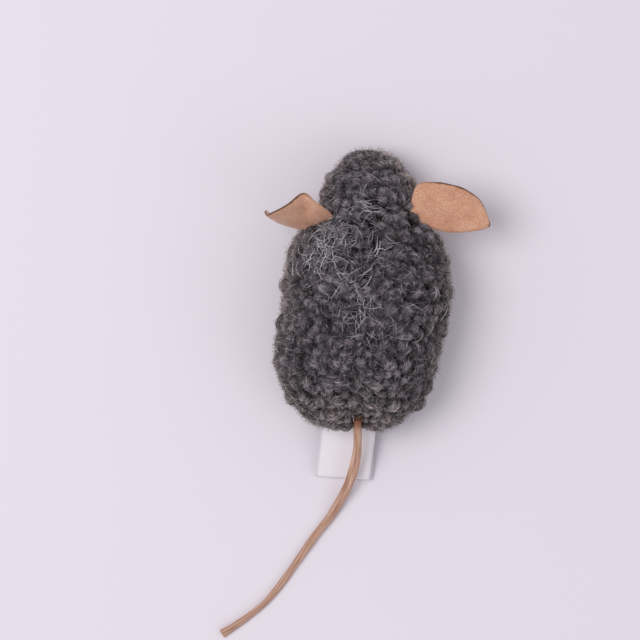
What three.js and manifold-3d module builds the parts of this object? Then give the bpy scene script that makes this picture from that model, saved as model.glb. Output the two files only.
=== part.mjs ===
// A mouse for a cat to play with: a stuffed fleece body with a crinkling insert and catnip, two folded
// felt ears, a suede tail and a sewn-in ribbon label. Millimetres. It lies on its flat belly: the origin
// is under the middle of the belly, the nose points along +Y, the right side is +X and the back is up.

import * as THREE from "three";
import { mergeVertices } from "three/addons/utils/BufferGeometryUtils.js";
import Module from "manifold-3d";

const wasm = await Module();
wasm.setup();

const weld = 0.001; // vertices closer than this are one
const bearingStep = 0.001; // radians between two looks at a curve, for its direction
const overrun = 10; // how far a cutting shape runs past what it cuts
const crumb = 0.01; // a loose bit of this volume or less is left over from a cut

// Stuffed body
const bodyLength = 75;
const bodyHalfWidth = 22.6;
const bodyHeight = 30;
const noseReach = 40;
const noseHeight = 8;
const rumpHeight = 11;
const bellyPress = 0.5; // depth that the belly is pressed flat
const backRoundness = 2.2; // exponents of the cross-section's superellipse, above and below its widest line
const bellyRoundness = 3;

// Fleece cover and its seams
const coverThickness = 3.5; // cloth and pile
const seamHeight = 6;
const seamGap = 0.3;
const spineBow = 2.8; // how far the back seam wanders to the right
const spineDip = 0.9; // how deep the back seam is drawn in
const rumpDip = 1.6; // how much deeper it is drawn in behind
const dipHalfWidth = 2.6;
const rumpDipShares = [0.8, 0.96]; // along the body, from where that begins to where it is whole

// Lumps of the pile, flatter where a piece is sewn on and near the seams
const lumpSpacing = 4.9;
const lumpRise = 0.25; // of the highest crests over the cover's mean surface
const lumpGroove = 0.9; // depth of the grooves between them
const lumpFloorRoom = 1.4; // height over the floor at which they begin

// Sewing thread
const threadRadius = 0.35;
const threadGap = 0.3;
const threadDepth = 2.2;
const pinAnchor = 2; // length of a stitch that lies in the cover on each side of what it holds
const runningGap = 0.3; // round each piece that swings on its stitch

// Inside
const fillGap = 0.3;
const neckShare = 0.24; // along the body, where the head's filling ends and the catnip lies
const catnipWall = 2.4; // filling between the catnip and the cover at the neck
const foilThickness = 0.3;
const foilWave = 0.7; // half the height of its pleats
const foilPleat = 6; // from crest to crest
const foilRoom = 0.7; // from the trough of a pleat to the cover's inside
const foilSideRoom = 9.1; // from its edge to the cover's inside where the body is widest
const foilHalfLength = 20;
const foilShare = 0.587; // along the body, where its middle lies

// Ears
const earLength = 21;
const earThickness = 1;
const earFoldRadius = 1.1; // at the root, to the middle of the felt
const earTipFoldRadius = 0.65;
const earBeadRadius = 1.2;
const earBeadLength = 4.5;
const earDepth = 1.2; // how deep the middle of its sewn root lies under the pile's surface
const earShare = 0.2453; // along the body
const rightEarX = 12.2;
const leftEarX = 7.8;
const rightEarOpening = 2; // how much further apart its two layers are at their rims than at the fold
const leftEarOpening = -0.25;
const leftEarRoll = 80; // degrees that its root is rolled up about the fold
const earSwing = { down: 15, up: 35, spare: 2 }; // degrees; the cover is cut clear for spare more each way
const earSwingSteps = 8;
const earStations = 11;
const earColumns = 6; // from the fold to each rim

// Tail
const laceWidth = 2.4;
const laceThickness = 1.6;
const knotRadius = 1.6;
const knotHeight = 13;
const knotDepth = 0.9;
const tailMouthAngle = 40;
const laceSides = 8;
const tailSteps = 15;

// The tail's way, from the knot in x and y and above the floor in z
const tailRoute = [
  [0.1, -2.3, 11.8], [0.3, -5.1, 10.5], [0.4, -8.1, 8.9], [0.1, -11.4, 7.1], [-0.5, -14.8, 5.4],
  [-1.4, -17.9, 3.9], [-2.7, -21, 2.6], [-4.3, -24.2, 1.6], [-6.2, -27.5, 1], [-9.4, -32, 0.85],
  [-12.3, -36.5, 0.85], [-15.4, -41.4, 0.85], [-18.6, -46.3, 0.85], [-22.2, -50.9, 0.85],
  [-26.5, -54.8, 0.85], [-30.8, -58.1, 0.85], [-33.3, -59.8, 0.85],
];

// Ribbon label
const labelWidth = 14.5;
const labelReach = 15.2; // from its sewn root to its folded end
const labelX = -2;
const labelTurn = -4; // it points a little to the left
const ribbonThickness = 0.35;
const ribbonGap = 0.5; // between its two layers
const labelTipHeight = 0.95;
const labelRootWidth = 7;
const labelBeadRadius = 0.9;
const labelDepth = 1.2;
const labelRootGap = 2.2; // from the stitch to where the two layers part
const labelLift = 8;

// How each ear lies, in degrees: its root rolled up about the fold, its tip down, its tip back
const rightEar = { side: 1, x: rightEarX, opening: rightEarOpening, roll: 0, droop: -2, sweep: 0 };
const leftEar = { side: -1, x: leftEarX, opening: leftEarOpening, roll: leftEarRoll, droop: 20, sweep: 0 };

// Stations from nose to rump. Each is a share of the length, the left and right half widths as shares of
// bodyHalfWidth, and how far the back rises and the belly sinks as shares of the room that each has.
const stationShares = [
  [0, 0, 0, 0, 0],
  [0.04, 0.3, 0.33, 0.24, 0.5],
  [0.09, 0.45, 0.48, 0.42, 0.85],
  [0.15, 0.5, 0.565, 0.56, 0.97],
  [0.215, 0.455, 0.56, 0.6, 1],
  [0.255, 0.49, 0.66, 0.69, 1],
  [0.3, 0.79, 0.86, 0.82, 1],
  [0.38, 0.91, 0.97, 0.94, 1],
  [0.5, 0.95, 1.03, 1, 1],
  [0.62, 0.98, 0.99, 1, 1],
  [0.72, 1.02, 0.925, 0.96, 1],
  [0.82, 0.96, 0.85, 0.83, 1],
  [0.9, 0.82, 0.71, 0.61, 0.93],
  [0.96, 0.6, 0.47, 0.34, 0.66],
  [1, 0, 0, 0, 0],
];

// The folded line and the cut rim of an ear from root to tip, as shares of its length: outwards, forwards.
const earFoldShares = [
  [0, 0], [0.07, -0.03], [0.2, -0.06], [0.35, -0.1], [0.5, -0.11], [0.66, -0.09], [0.84, -0.05],
  [0.985, -0.02],
];
const earRimShares = [
  [0.03, 0.1], [0.05, 0.26], [0.12, 0.46], [0.28, 0.49], [0.46, 0.47], [0.66, 0.4], [0.86, 0.25], [1, 0.02],
];
const earOpeningShares = [0, 0.3, 0.7, 0.9, 1, 0.9, 0.6, 0.2];
const earRollShares = [1, 1.06, 0.86, 0.69, 0.85, 1, 1.1, 1.1]; // of the roll at the root

const fleece = new THREE.MeshStandardMaterial({ color: 0x4a474b, roughness: 1, metalness: 0 });
const underFleece = new THREE.MeshStandardMaterial({ color: 0x57504f, roughness: 1, metalness: 0 });
const filling = new THREE.MeshStandardMaterial({ color: 0xe9e6df, roughness: 1, metalness: 0 });
const foil = new THREE.MeshStandardMaterial({ color: 0xc9ccd0, roughness: 0.3, metalness: 0.2 });
const herb = new THREE.MeshStandardMaterial({ color: 0x7b8250, roughness: 1, metalness: 0 });
const thread = new THREE.MeshStandardMaterial({ color: 0x39363a, roughness: 0.8, metalness: 0 });
const felt = new THREE.MeshStandardMaterial({ color: 0xc49a80, roughness: 0.95, metalness: 0 });
const suede = new THREE.MeshStandardMaterial({ color: 0xbb8f76, roughness: 0.9, metalness: 0 });
const satin = new THREE.MeshStandardMaterial({ color: 0xece6f0, roughness: 0.5, metalness: 0 });

const radians = THREE.MathUtils.degToRad;
const degrees = THREE.MathUtils.radToDeg;
const up = new THREE.Vector3(0, 0, 1);
const forward = new THREE.Vector3(0, 1, 0);
const backward = new THREE.Vector3(0, -1, 0);
const sideways = new THREE.Vector3(1, 0, 0);
const mouse = new THREE.Group();

// Even scatter between 0 and 1, the same each time, by two whole numbers
const scatterRates = [12.9898, 78.233, 43758.5453];

function scatter(m, n) {
  const value = Math.sin(m * scatterRates[0] + n * scatterRates[1]) * scatterRates[2];
  return value - Math.floor(value);
}

function solidOf(geometry) {
  const bare = geometry.index ? geometry.toNonIndexed() : geometry.clone();
  bare.deleteAttribute("normal");
  bare.deleteAttribute("uv");
  const merged = mergeVertices(bare, weld);
  return new wasm.Manifold(
    new wasm.Mesh({
      numProp: 3,
      vertProperties: merged.attributes.position.array,
      triVerts: new Uint32Array(merged.index.array),
    }),
  );
}

function add(name, solid, material) {
  const bodies = solid.decompose().filter((body) => body.volume() > crumb);
  const { numVert, numProp, vertProperties, triVerts } = (bodies.length === 1 ? bodies[0] : solid).getMesh();
  const positions = new Float32Array(numVert * 3);
  for (let i = 0; i < numVert; i++)
    positions.set(vertProperties.subarray(i * numProp, i * numProp + 3), i * 3);
  const geometry = new THREE.BufferGeometry();
  geometry.setAttribute("position", new THREE.BufferAttribute(positions, 3));
  geometry.setIndex(new THREE.BufferAttribute(triVerts, 1));
  geometry.computeVertexNormals();
  const mesh = new THREE.Mesh(geometry, material);
  mesh.name = name;
  mouse.add(mesh);
}

// A closed surface from rows of points: every row is a ring, and the first and last rows are closed by a
// fan around the mean of their points. Where crossed says so, a face is split along its other diagonal.
function ringsGeometry(rows, crossed = () => false) {
  const positions = [];
  const index = [];
  const across = rows[0].length;
  for (const p of rows.flat()) positions.push(p.x, p.y, p.z);
  for (let i = 0; i < rows.length - 1; i++)
    for (let j = 0; j < across; j++) {
      const a = i * across + j;
      const b = i * across + ((j + 1) % across);
      if (crossed(i, j)) index.push(a, b, a + across, b, b + across, a + across);
      else index.push(a, b, b + across, a, b + across, a + across);
    }
  for (const end of [0, rows.length - 1]) {
    const middle = rows[end].reduce((sum, p) => sum.add(p), new THREE.Vector3()).divideScalar(across);
    const hub = positions.length / 3;
    positions.push(middle.x, middle.y, middle.z);
    for (let j = 0; j < across; j++) {
      const a = end * across + j;
      const b = end * across + ((j + 1) % across);
      if (end) index.push(a, b, hub);
      else index.push(b, a, hub);
    }
  }
  const geometry = new THREE.BufferGeometry();
  geometry.setAttribute("position", new THREE.Float32BufferAttribute(positions, 3));
  geometry.setIndex(index);
  geometry.computeVertexNormals();
  return geometry;
}

// A column of stationShares at share t of the length, read smoothly through the squares, so that both ends
// of the body are round.
function share(t, column) {
  const last = stationShares.length - 1;
  let i = 0;
  while (i < last - 1 && stationShares[i + 1][0] < t) i++;
  const square = (k) => stationShares[k][column] ** 2;
  const slope = (k) => {
    const before = Math.max(k - 1, 0);
    const after = Math.min(k + 1, last);
    const rise = (square(after) - square(before)) / (stationShares[after][0] - stationShares[before][0]);
    return k === 0 || k === last ? (column ? rise : 1) : rise;
  };
  const span = stationShares[i + 1][0] - stationShares[i][0];
  const u = THREE.MathUtils.clamp((t - stationShares[i][0]) / span, 0, 1);
  const value =
    square(i) * (1 + 2 * u) * (1 - u) ** 2 +
    slope(i) * span * u * (1 - u) ** 2 +
    square(i + 1) * u * u * (3 - 2 * u) +
    slope(i + 1) * span * u * u * (u - 1);
  return Math.sqrt(Math.max(value, 0));
}

function sectionAt(t) {
  const middle = THREE.MathUtils.lerp(noseHeight, rumpHeight, t);
  return {
    y: noseReach - t * bodyLength,
    middle,
    left: share(t, 1) * bodyHalfWidth,
    right: share(t, 2) * bodyHalfWidth,
    up: share(t, 3) * (bodyHeight - middle),
    down: share(t, 4) * (middle + bellyPress),
  };
}

const lengthShareAt = (y) => (noseReach - y) / bodyLength;
const spineAt = (t) => spineBow * Math.sin(Math.PI * THREE.MathUtils.clamp(t, 0, 1));

function isInside(p) {
  const t = lengthShareAt(p.y);
  if (t <= 0 || t >= 1) return false;
  const s = sectionAt(t);
  const above = p.z > s.middle;
  const power = above ? backRoundness : bellyRoundness;
  const across = Math.abs(p.x) / (p.x > 0 ? s.right : s.left);
  const high = Math.abs(p.z - s.middle) / (above ? s.up : s.down);
  return across ** power + high ** power < 1;
}

// The point where a ray from a place inside the body leaves its surface.
function skinFrom(from, direction) {
  let near = 0;
  let far = bodyLength;
  const at = (d) => from.clone().addScaledVector(direction, d);
  for (let i = 0; i < 40; i++) {
    const half = (near + far) / 2;
    if (isInside(at(half))) near = half;
    else far = half;
  }
  return at(near);
}

// How far the seam along the back draws the surface in at a point.
function seamDip(p, t) {
  const behind = THREE.MathUtils.smoothstep(t, ...rumpDipShares);
  const high = THREE.MathUtils.smoothstep(p.z, seamHeight - bellyPress, seamHeight + coverThickness);
  const across = (p.x - spineAt(t)) / dipHalfWidth;
  return (spineDip + rumpDip * behind) * high * Math.exp(-across * across);
}

// Places where a piece is sewn to the cover, each with how far its stitch reaches
const sewnPlaces = [];

// How far the lumps are worked out at a point, from 0 to 1
const lumpShares = [0.02, 0.07]; // of the length, from where they begin at each end to where they are whole
const seamCalm = 0.5; // share that the base seam takes from them

function lumpsAt(p, t) {
  const across = (p.x - spineAt(t)) / dipHalfWidth;
  const high = (p.z - seamHeight) / (coverThickness / 2);
  const ends = THREE.MathUtils.smoothstep(Math.min(t, 1 - t), ...lumpShares);
  const bySeams = (1 - Math.exp(-across * across)) * (1 - seamCalm * Math.exp(-high * high));
  const floor = THREE.MathUtils.smoothstep(p.z, lumpFloorRoom, lumpFloorRoom + lumpSpacing / 2);
  const near = ({ place, reach }) =>
    THREE.MathUtils.smoothstep(p.distanceTo(place), reach, reach + lumpSpacing);
  return sewnPlaces.reduce((share, sewn) => share * near(sewn), ends * bySeams * floor);
}

// The crest of a lump is every other point of every other row of the cover's grid, shifted by one from row
// to row, and the points between them lie in the grooves.
const isCrest = (i, j) => i % 2 === 0 && (j + i / 2) % 2 === 0;
const crestShares = [0.3, 1]; // of the rise, from the lowest to the highest
const grooveShares = [0.7, 1]; // of the depth, likewise
const strayShare = 0.22; // of the way to the next point, the most that one lies out of its row

function lumpHeight(i, j) {
  const [least, most] = isCrest(i, j) ? crestShares : grooveShares;
  return THREE.MathUtils.lerp(least, most, scatter(i, j)) * (isCrest(i, j) ? lumpRise : -lumpGroove);
}

// Grids of points on the skin: stations along it, columns from each side up to the back seam and in all
// below, how much closer they stand by that seam, and how far the stations are evened out.
const liningGrid = { stations: 18, columns: 6, below: 6, bunching: 1.4, evening: 0, piled: false };
const profileLength = (Math.PI * Math.hypot(bodyLength, bodyHeight)) / Math.sqrt(8);
const coverGrid = {
  stations: 2 * Math.round(profileLength / lumpSpacing),
  columns: 12,
  below: 8,
  bunching: 1.2,
  evening: 0.3,
  piled: true,
};

// A point of the skin at place i, j of a grid, which need not be whole numbers.
function skinPoint(grid, i, j) {
  const { stations, columns, below, bunching, evening } = grid;
  const turn = 2 * Math.PI;
  const even = i / stations + (evening * Math.sin((turn * i) / stations)) / turn;
  const t = (1 - Math.cos(Math.PI * even)) / 2;
  const s = sectionAt(t);
  const seam = Math.acos((spineAt(t) / s.right) ** (backRoundness / 2) || 0);
  let angle = Math.PI * (1 + (j - 2 * columns) / below);
  if (j < columns) angle = seam * (1 - (1 - j / columns) ** bunching);
  else if (j < 2 * columns) angle = seam + (Math.PI - seam) * (j / columns - 1) ** bunching;
  const c = Math.cos(angle);
  const h = Math.sin(angle);
  const power = 2 / (h >= 0 ? backRoundness : bellyRoundness);
  const x = Math.sign(c) * Math.abs(c) ** power * (c > 0 ? s.right : s.left);
  const z = s.middle + Math.sign(h) * Math.abs(h) ** power * (h > 0 ? s.up : s.down);
  return { p: new THREE.Vector3(x, s.y, z), t, middle: s.middle };
}

// A point of the cover's outside, with its seams drawn in and its lumps.
function coverPoint(grid, i, j) {
  const onSeam = j === grid.columns;
  const above = j < 2 * grid.columns;
  const stray = (way) => (above && !onSeam ? strayShare * (2 * scatter(i + way, j) - 1) : 0);
  const { p, t, middle } = skinPoint(grid, i + stray(grid.stations), j + stray(-grid.stations));
  const backEnd = noseReach - bodyLength + bodyHalfWidth / 2;
  const frontEnd = noseReach - bodyHalfWidth / 2;
  const core = new THREE.Vector3(p.x / 2, THREE.MathUtils.clamp(p.y, backEnd, frontEnd), middle);
  const inwards = seamDip(p, t) - lumpHeight(i, j) * lumpsAt(p, t);
  return p.addScaledVector(core.sub(p).normalize(), inwards);
}

// The closed skin of the stuffed body, moved inwards by inset.
function skinSolid(inset, grid) {
  const rows = [];
  for (let i = 1; i < grid.stations; i++) {
    const row = [];
    for (let j = 0; j < 2 * grid.columns + grid.below; j++)
      row.push(grid.piled ? coverPoint(grid, i, j) : skinPoint(grid, i, j).p);
    rows.push(row);
  }
  // The first row is station 1. A face is split through its crest.
  const crossed = (i, j) => grid.piled && (isCrest(i + 1, j + 1) || isCrest(i + 2, j));
  const geometry = ringsGeometry(rows, crossed);
  const { position, normal } = geometry.attributes;
  for (let i = 0; i < position.count; i++)
    position.setXYZ(
      i,
      position.getX(i) - normal.getX(i) * inset,
      position.getY(i) - normal.getY(i) * inset,
      position.getZ(i) - normal.getZ(i) * inset,
    );
  return solidOf(geometry);
}

function boxSolid(low, high) {
  const size = new THREE.Vector3().subVectors(high, low);
  const middle = new THREE.Vector3().addVectors(low, high).divideScalar(2);
  return solidOf(new THREE.BoxGeometry(size.x, size.y, size.z).translate(middle.x, middle.y, middle.z));
}

// The flat outline of points in x and y, from one height to another.
function prismSolid(points, bottom, top) {
  const shape = new THREE.Shape(points.map(([x, y]) => new THREE.Vector2(x, y)));
  const prism = new THREE.ExtrudeGeometry(shape, { depth: top - bottom, bevelEnabled: false, steps: 1 });
  return solidOf(prism.translate(0, 0, bottom));
}

// A round or oval rod along a list of points.
function rodSolid(points, halfWidth, halfHeight, sides, steps) {
  const outline = [];
  for (let i = 0; i < sides; i++) {
    const angle = (2 * Math.PI * (i + 0.5)) / sides;
    outline.push(new THREE.Vector2(halfWidth * Math.sin(angle), halfHeight * Math.cos(angle)));
  }
  const straight = points.length === 2;
  const extrudePath = straight ? new THREE.LineCurve3(...points) : new THREE.CatmullRomCurve3(points);
  const options = { steps, bevelEnabled: false, extrudePath };
  return solidOf(new THREE.ExtrudeGeometry(new THREE.Shape(outline), options));
}

const farX = bodyHalfWidth + overrun;
const farFront = noseReach + overrun;
const farBack = noseReach - bodyLength - overrun;
const farUp = bodyHeight + overrun;

// The cover is three panels: left and right of the back seam, and one under the base seam.
const spineSteps = 14;
const spineLine = [];
for (let i = 0; i <= spineSteps; i++) {
  const t = i / spineSteps;
  spineLine.push([spineAt(t), noseReach - t * bodyLength]);
}
const besideSpine = (side) => {
  const seam = [[0, farFront], ...spineLine, [0, farBack]].map(([x, y]) => [x + (side * seamGap) / 2, y]);
  const outline = [[side * farX, farFront], ...seam, [side * farX, farBack]];
  return prismSolid(outline, seamHeight + seamGap / 2, farUp);
};
const belowSeam = boxSolid(
  new THREE.Vector3(-farX, farBack, -overrun),
  new THREE.Vector3(farX, farFront, seamHeight - seamGap / 2),
);

// What the sewing thread needs cut out of the panels
const cuts = [];

// A thread lies in a channel of its own in the cover.
const threadSides = 6;

function addThread(name, points, steps) {
  add(name, rodSolid(points, threadRadius, threadRadius, threadSides, steps), thread);
  const first = points[0].clone().sub(points[1]).setLength(threadGap).add(points[0]);
  const last = points.at(-1).clone().sub(points.at(-2)).setLength(threadGap).add(points.at(-1));
  const channel = points.length > 2 ? [first, ...points.slice(1, -1), last] : [first, last];
  cuts.push(rodSolid(channel, threadRadius + threadGap, threadRadius + threadGap, threadSides, steps));
}

const spineThreadShares = [0.06, 0.12, 0.2, 0.27, 0.34, 0.45, 0.58, 0.7, 0.8, 0.86];
const spineThreadSteps = 24;
addThread(
  "spine_seam_thread",
  spineThreadShares.map((t) => {
    const s = sectionAt(t);
    const top = skinFrom(new THREE.Vector3(spineAt(t), s.y, s.middle), up);
    return top.setZ(top.z - threadDepth);
  }),
  spineThreadSteps,
);

// The base seam runs round the body at seamHeight, from one side of the label to the other.
function baseSeamPoint(bearing, depth) {
  const middle = new THREE.Vector3(0, noseReach - bodyLength / 2, seamHeight);
  const at = (turn) =>
    skinFrom(middle, new THREE.Vector3(Math.sin(bearing + turn), Math.cos(bearing + turn), 0));
  const along = at(bearingStep).sub(at(-bearingStep)).normalize();
  return at(0).add(new THREE.Vector3(along.y, -along.x, 0).multiplyScalar(depth));
}
const labelBearing = radians(200);
const labelSpread = radians(24);
const basePoints = 34;
const baseThreadSteps = 48;
const baseLine = [];
for (let i = 0; i <= basePoints; i++) {
  const bearing = labelBearing + labelSpread + ((2 * Math.PI - 2 * labelSpread) * i) / basePoints;
  baseLine.push(baseSeamPoint(bearing, threadDepth));
}
addThread("base_seam_thread", baseLine, baseThreadSteps);

// Ears, folded lengthways with the fold behind and the cut rim in front
function alongShares(table, a) {
  const points = table.map(([p, q]) => new THREE.Vector3(p, q, 0));
  return new THREE.CatmullRomCurve3(points).getPoint(a);
}

const alongSteps = (values, a) => alongShares(values.map((value, i) => [i, value]), a).y;

// A point of the felt's middle surface, by its share a from root to tip and its place s from -1 at the
// lower rim through 0 on the fold to 1 at the upper rim, in the frame of a right ear.
function feltPoint(ear, a, s) {
  const fold = alongShares(earFoldShares, a).multiplyScalar(earLength);
  const rim = alongShares(earRimShares, a).multiplyScalar(earLength);
  const opening = alongSteps(earOpeningShares, a) * ear.opening;
  const roll = radians(alongSteps(earRollShares, a) * ear.roll);
  const radius = THREE.MathUtils.lerp(earFoldRadius, earTipFoldRadius, a);
  const out = rim.clone().sub(fold);
  const depth = out.length();
  out.normalize();
  const tilt = Math.asin(THREE.MathUtils.clamp(opening / depth, -0.5, 0.5));
  const bend = Math.PI / 2 - tilt;
  const arc = radius * bend;
  const run = Math.abs(s) * (depth + arc - radius);
  const turned = Math.min(run / radius, bend);
  const straight = Math.max(run - arc, 0);
  const inwards = radius * (1 - Math.cos(turned)) + straight * Math.sin(bend);
  const high = radius * Math.sin(turned) + straight * Math.cos(bend);
  const fromFold = out.multiplyScalar(inwards).setZ(Math.sign(s) * high);
  return fold.add(fromFold.applyAxisAngle(sideways, roll));
}

// A folded ear: solid() is the felt itself, and room(gap) the space that the folded felt fills with a gap
// round it. Its middle surface is kept as rows of points from root to tip, each from rim to rim.
const feltBunching = 1.5;

function foldedEar(ear) {
  const rows = [];
  for (let i = 0; i <= earStations; i++) {
    const row = [];
    for (let j = -earColumns; j <= earColumns; j++) {
      const place = Math.sign(j) * Math.abs(j / earColumns) ** feltBunching;
      row.push(feltPoint(ear, i / earStations, place));
    }
    rows.push(row);
  }
  const moved = (distance) =>
    rows.map((row, i) =>
      row.map((point, j) => {
        // By the root the rims run along their rows, so the fold gives the direction there.
        const guide = i < 2 ? earColumns : j;
        const along = rows[Math.min(i + 1, earStations)][guide].clone().sub(rows[Math.max(i - 1, 0)][guide]);
        const across = row[Math.min(j + 1, 2 * earColumns)].clone().sub(row[Math.max(j - 1, 0)]);
        return point.clone().addScaledVector(along.cross(across).normalize(), distance);
      }),
    );
  const solid = () => solidOf(sheetGeometry(moved(earThickness / 2), moved(-earThickness / 2)));
  const room = (gap) => {
    const outside = moved(earThickness / 2 + gap).map((row) => row.toReversed());
    for (const row of outside) {
      row[0].add(row[0].clone().sub(row[1]).setLength(gap));
      row.at(-1).add(row.at(-1).clone().sub(row.at(-2)).setLength(gap));
    }
    // By the root the felt's rims face inwards, so they need their gap that way too.
    for (const p of [...outside[0], ...outside[1]]) p.x -= gap;
    const root = outside[0].map((p) => p.clone().setX(p.x - earThickness));
    return solidOf(ringsGeometry([root, ...outside]));
  };
  return { solid, room };
}

// A closed sheet between two faces, each given as rows of points.
function sheetGeometry(front, back) {
  const width = front[0].length;
  const rows = front.map((row, i) => [...row, ...back[i].toReversed()]);
  const positions = rows.flat().flatMap((p) => [p.x, p.y, p.z]);
  const around = 2 * width;
  const index = [];
  for (let i = 0; i < rows.length - 1; i++)
    for (let j = 0; j < around; j++) {
      const a = i * around + j;
      const b = i * around + ((j + 1) % around);
      index.push(a, b + around, b, a, a + around, b + around);
    }
  const end = (rows.length - 1) * around;
  for (let j = 0; j < width - 1; j++) {
    const [a, b, c, d] = [j, j + 1, around - j - 2, around - j - 1];
    index.push(a, b, c, a, c, d);
    index.push(end + a, end + c, end + b, end + a, end + d, end + c);
  }
  const geometry = new THREE.BufferGeometry();
  geometry.setAttribute("position", new THREE.Float32BufferAttribute(positions, 3));
  geometry.setIndex(index);
  return geometry;
}

// A short round rod about the origin
const barSides = 10;

function barSolid(radius, halfLength, along) {
  const end = new THREE.Vector3().copy(along).multiplyScalar(halfLength);
  return rodSolid([end.clone().negate(), end], radius, radius, barSides, 1);
}

function addEar(name, ear) {
  const s = sectionAt(earShare);
  const root = skinFrom(new THREE.Vector3(ear.side * ear.x, s.y, s.middle), up);
  root.addScaledVector(new THREE.Vector3(-root.x, 0, s.middle - root.z).normalize(), earDepth);
  sewnPlaces.push({ place: root, reach: earBeadLength / 2 + pinAnchor });
  const turned = (solid) =>
    (ear.side < 0 ? solid.mirror([1, 0, 0]) : solid)
      .rotate([0, ear.side * ear.droop, 0])
      .rotate([0, 0, ear.side * ear.sweep]);
  const place = (solid) => solid.translate(root.toArray());
  const folded = foldedEar(ear);
  const bead = barSolid(earBeadRadius, earBeadLength / 2, forward);
  const bore = barSolid(threadRadius + threadGap, earLength, forward);
  add(name, place(turned(folded.solid()).add(bead).subtract(bore)), felt);

  const pinEnd = forward.clone().multiplyScalar(earBeadLength / 2 + pinAnchor);
  addThread(`${name}_stitch`, [root.clone().sub(pinEnd), root.clone().add(pinEnd)], 1);
  const pocketRadius = earFoldRadius + earThickness / 2 + 3 * runningGap;
  cuts.push(place(barSolid(pocketRadius, earBeadLength / 2 + runningGap, forward)));
  const room = turned(folded.room(runningGap));
  const lowest = -earSwing.down - earSwing.spare;
  const highest = earSwing.up + earSwing.spare;
  for (let i = 0; i <= earSwingSteps; i++) {
    const lift = THREE.MathUtils.lerp(lowest, highest, i / earSwingSteps);
    cuts.push(place(room.rotate([0, -ear.side * lift, 0])));
  }
}

addEar("ear_right", rightEar);
addEar("ear_left", leftEar);

// Tail: a lace with a knot, which a stitch holds in the back seam
const rumpFrom = (x, z) => skinFrom(new THREE.Vector3(x, noseReach - bodyLength / 2, z), backward);
const knotPlace = rumpFrom(0, knotHeight);
knotPlace.y += spineDip + rumpDip + knotDepth;
sewnPlaces.push({ place: knotPlace, reach: knotRadius + pinAnchor });
const ballSolid = (radius) => solidOf(new THREE.SphereGeometry(radius, 12, 8).rotateX(Math.PI / 2));
const upright = barSolid(threadRadius + threadGap, 2 * knotRadius, up);
add("tail_knot", ballSolid(knotRadius).subtract(upright).translate(knotPlace.toArray()), suede);
const stitchEnd = up.clone().multiplyScalar(knotRadius + pinAnchor);
addThread("tail_stitch", [knotPlace.clone().sub(stitchEnd), knotPlace.clone().add(stitchEnd)], 1);
const mouthReach = spineDip + rumpDip + knotDepth + overrun;
const mouthRadius = knotRadius + runningGap;
const mouthWidening = mouthReach * Math.tan(radians(tailMouthAngle));
const mouth = new THREE.CylinderGeometry(mouthRadius, mouthRadius + mouthWidening, mouthReach, 16)
  .rotateX(Math.PI / 2)
  .translate(knotPlace.x, knotPlace.y - mouthReach / 2, knotPlace.z);
cuts.push(solidOf(mouth));
cuts.push(ballSolid(mouthRadius).translate(knotPlace.toArray()));

const tailPoints = tailRoute.map(([x, y, z]) => new THREE.Vector3(knotPlace.x + x, knotPlace.y + y, z));
const laceStart = tailPoints[0].clone().sub(knotPlace).setLength(knotRadius + runningGap).add(knotPlace);
const lace = rodSolid([laceStart, ...tailPoints], laceWidth / 2, laceThickness / 2, laceSides, tailSteps);
add("tail_cord", lace, suede);

// Label: a ribbon folded in two, with its ends gathered in the base seam
const labelRoot = rumpFrom(labelX, seamHeight);
labelRoot.y += labelDepth;
labelRoot.z = seamHeight;
sewnPlaces.push({ place: labelRoot, reach: labelRootWidth / 2 + pinAnchor });
const labelSlope = Math.asin((seamHeight - labelTipHeight) / labelReach);
const layerOut = ribbonGap / 2 + ribbonThickness;
const labelShape = new THREE.Shape();
labelShape.moveTo(labelRootGap, -layerOut);
labelShape.lineTo(labelReach - layerOut, -layerOut);
labelShape.absarc(labelReach - layerOut, 0, layerOut, -Math.PI / 2, Math.PI / 2, false);
labelShape.lineTo(labelRootGap, layerOut);
labelShape.lineTo(labelRootGap, ribbonGap / 2);
labelShape.lineTo(labelReach - layerOut, ribbonGap / 2);
labelShape.absarc(labelReach - layerOut, 0, ribbonGap / 2, Math.PI / 2, -Math.PI / 2, true);
labelShape.lineTo(labelRootGap, -ribbonGap / 2);
labelShape.closePath();
const bladeOptions = { depth: labelWidth, bevelEnabled: false, curveSegments: 5 };
const flatBlade = new THREE.ExtrudeGeometry(labelShape, bladeOptions)
  .translate(0, 0, -labelWidth / 2)
  .rotateX(Math.PI / 2)
  .rotateZ(-Math.PI / 2);
const neckHeight = 2 * layerOut;
const neckLength = labelRootGap + 2 * ribbonThickness;
const labelNeck = (room) =>
  boxSolid(
    new THREE.Vector3(-labelRootWidth / 2 - room, -neckLength - room, -neckHeight / 2 - room),
    new THREE.Vector3(labelRootWidth / 2 + room, 0, neckHeight / 2 + room),
  );
const labelTurned = (solid) =>
  solid.rotate([degrees(labelSlope), 0, labelTurn]).translate(labelRoot.toArray());
const labelBead = barSolid(labelBeadRadius, labelRootWidth / 2, sideways);
const labelBore = barSolid(threadRadius + threadGap, labelWidth, sideways);
const label = solidOf(flatBlade).add(labelNeck(0)).add(labelBead).subtract(labelBore);
add("care_label", labelTurned(label), satin);
const labelPinEnd = new THREE.Vector3(labelRootWidth / 2 + pinAnchor, 0, 0);
labelPinEnd.applyAxisAngle(up, radians(labelTurn));
addThread("label_stitch", [labelRoot.clone().sub(labelPinEnd), labelRoot.clone().add(labelPinEnd)], 1);
cuts.push(labelTurned(barSolid(labelBeadRadius + runningGap, labelRootWidth / 2 + runningGap, sideways)));
const looseNeck = labelNeck(runningGap);
for (const lift of [0, labelLift / 2, labelLift]) cuts.push(labelTurned(looseNeck.rotate([-lift, 0, 0])));

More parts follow.
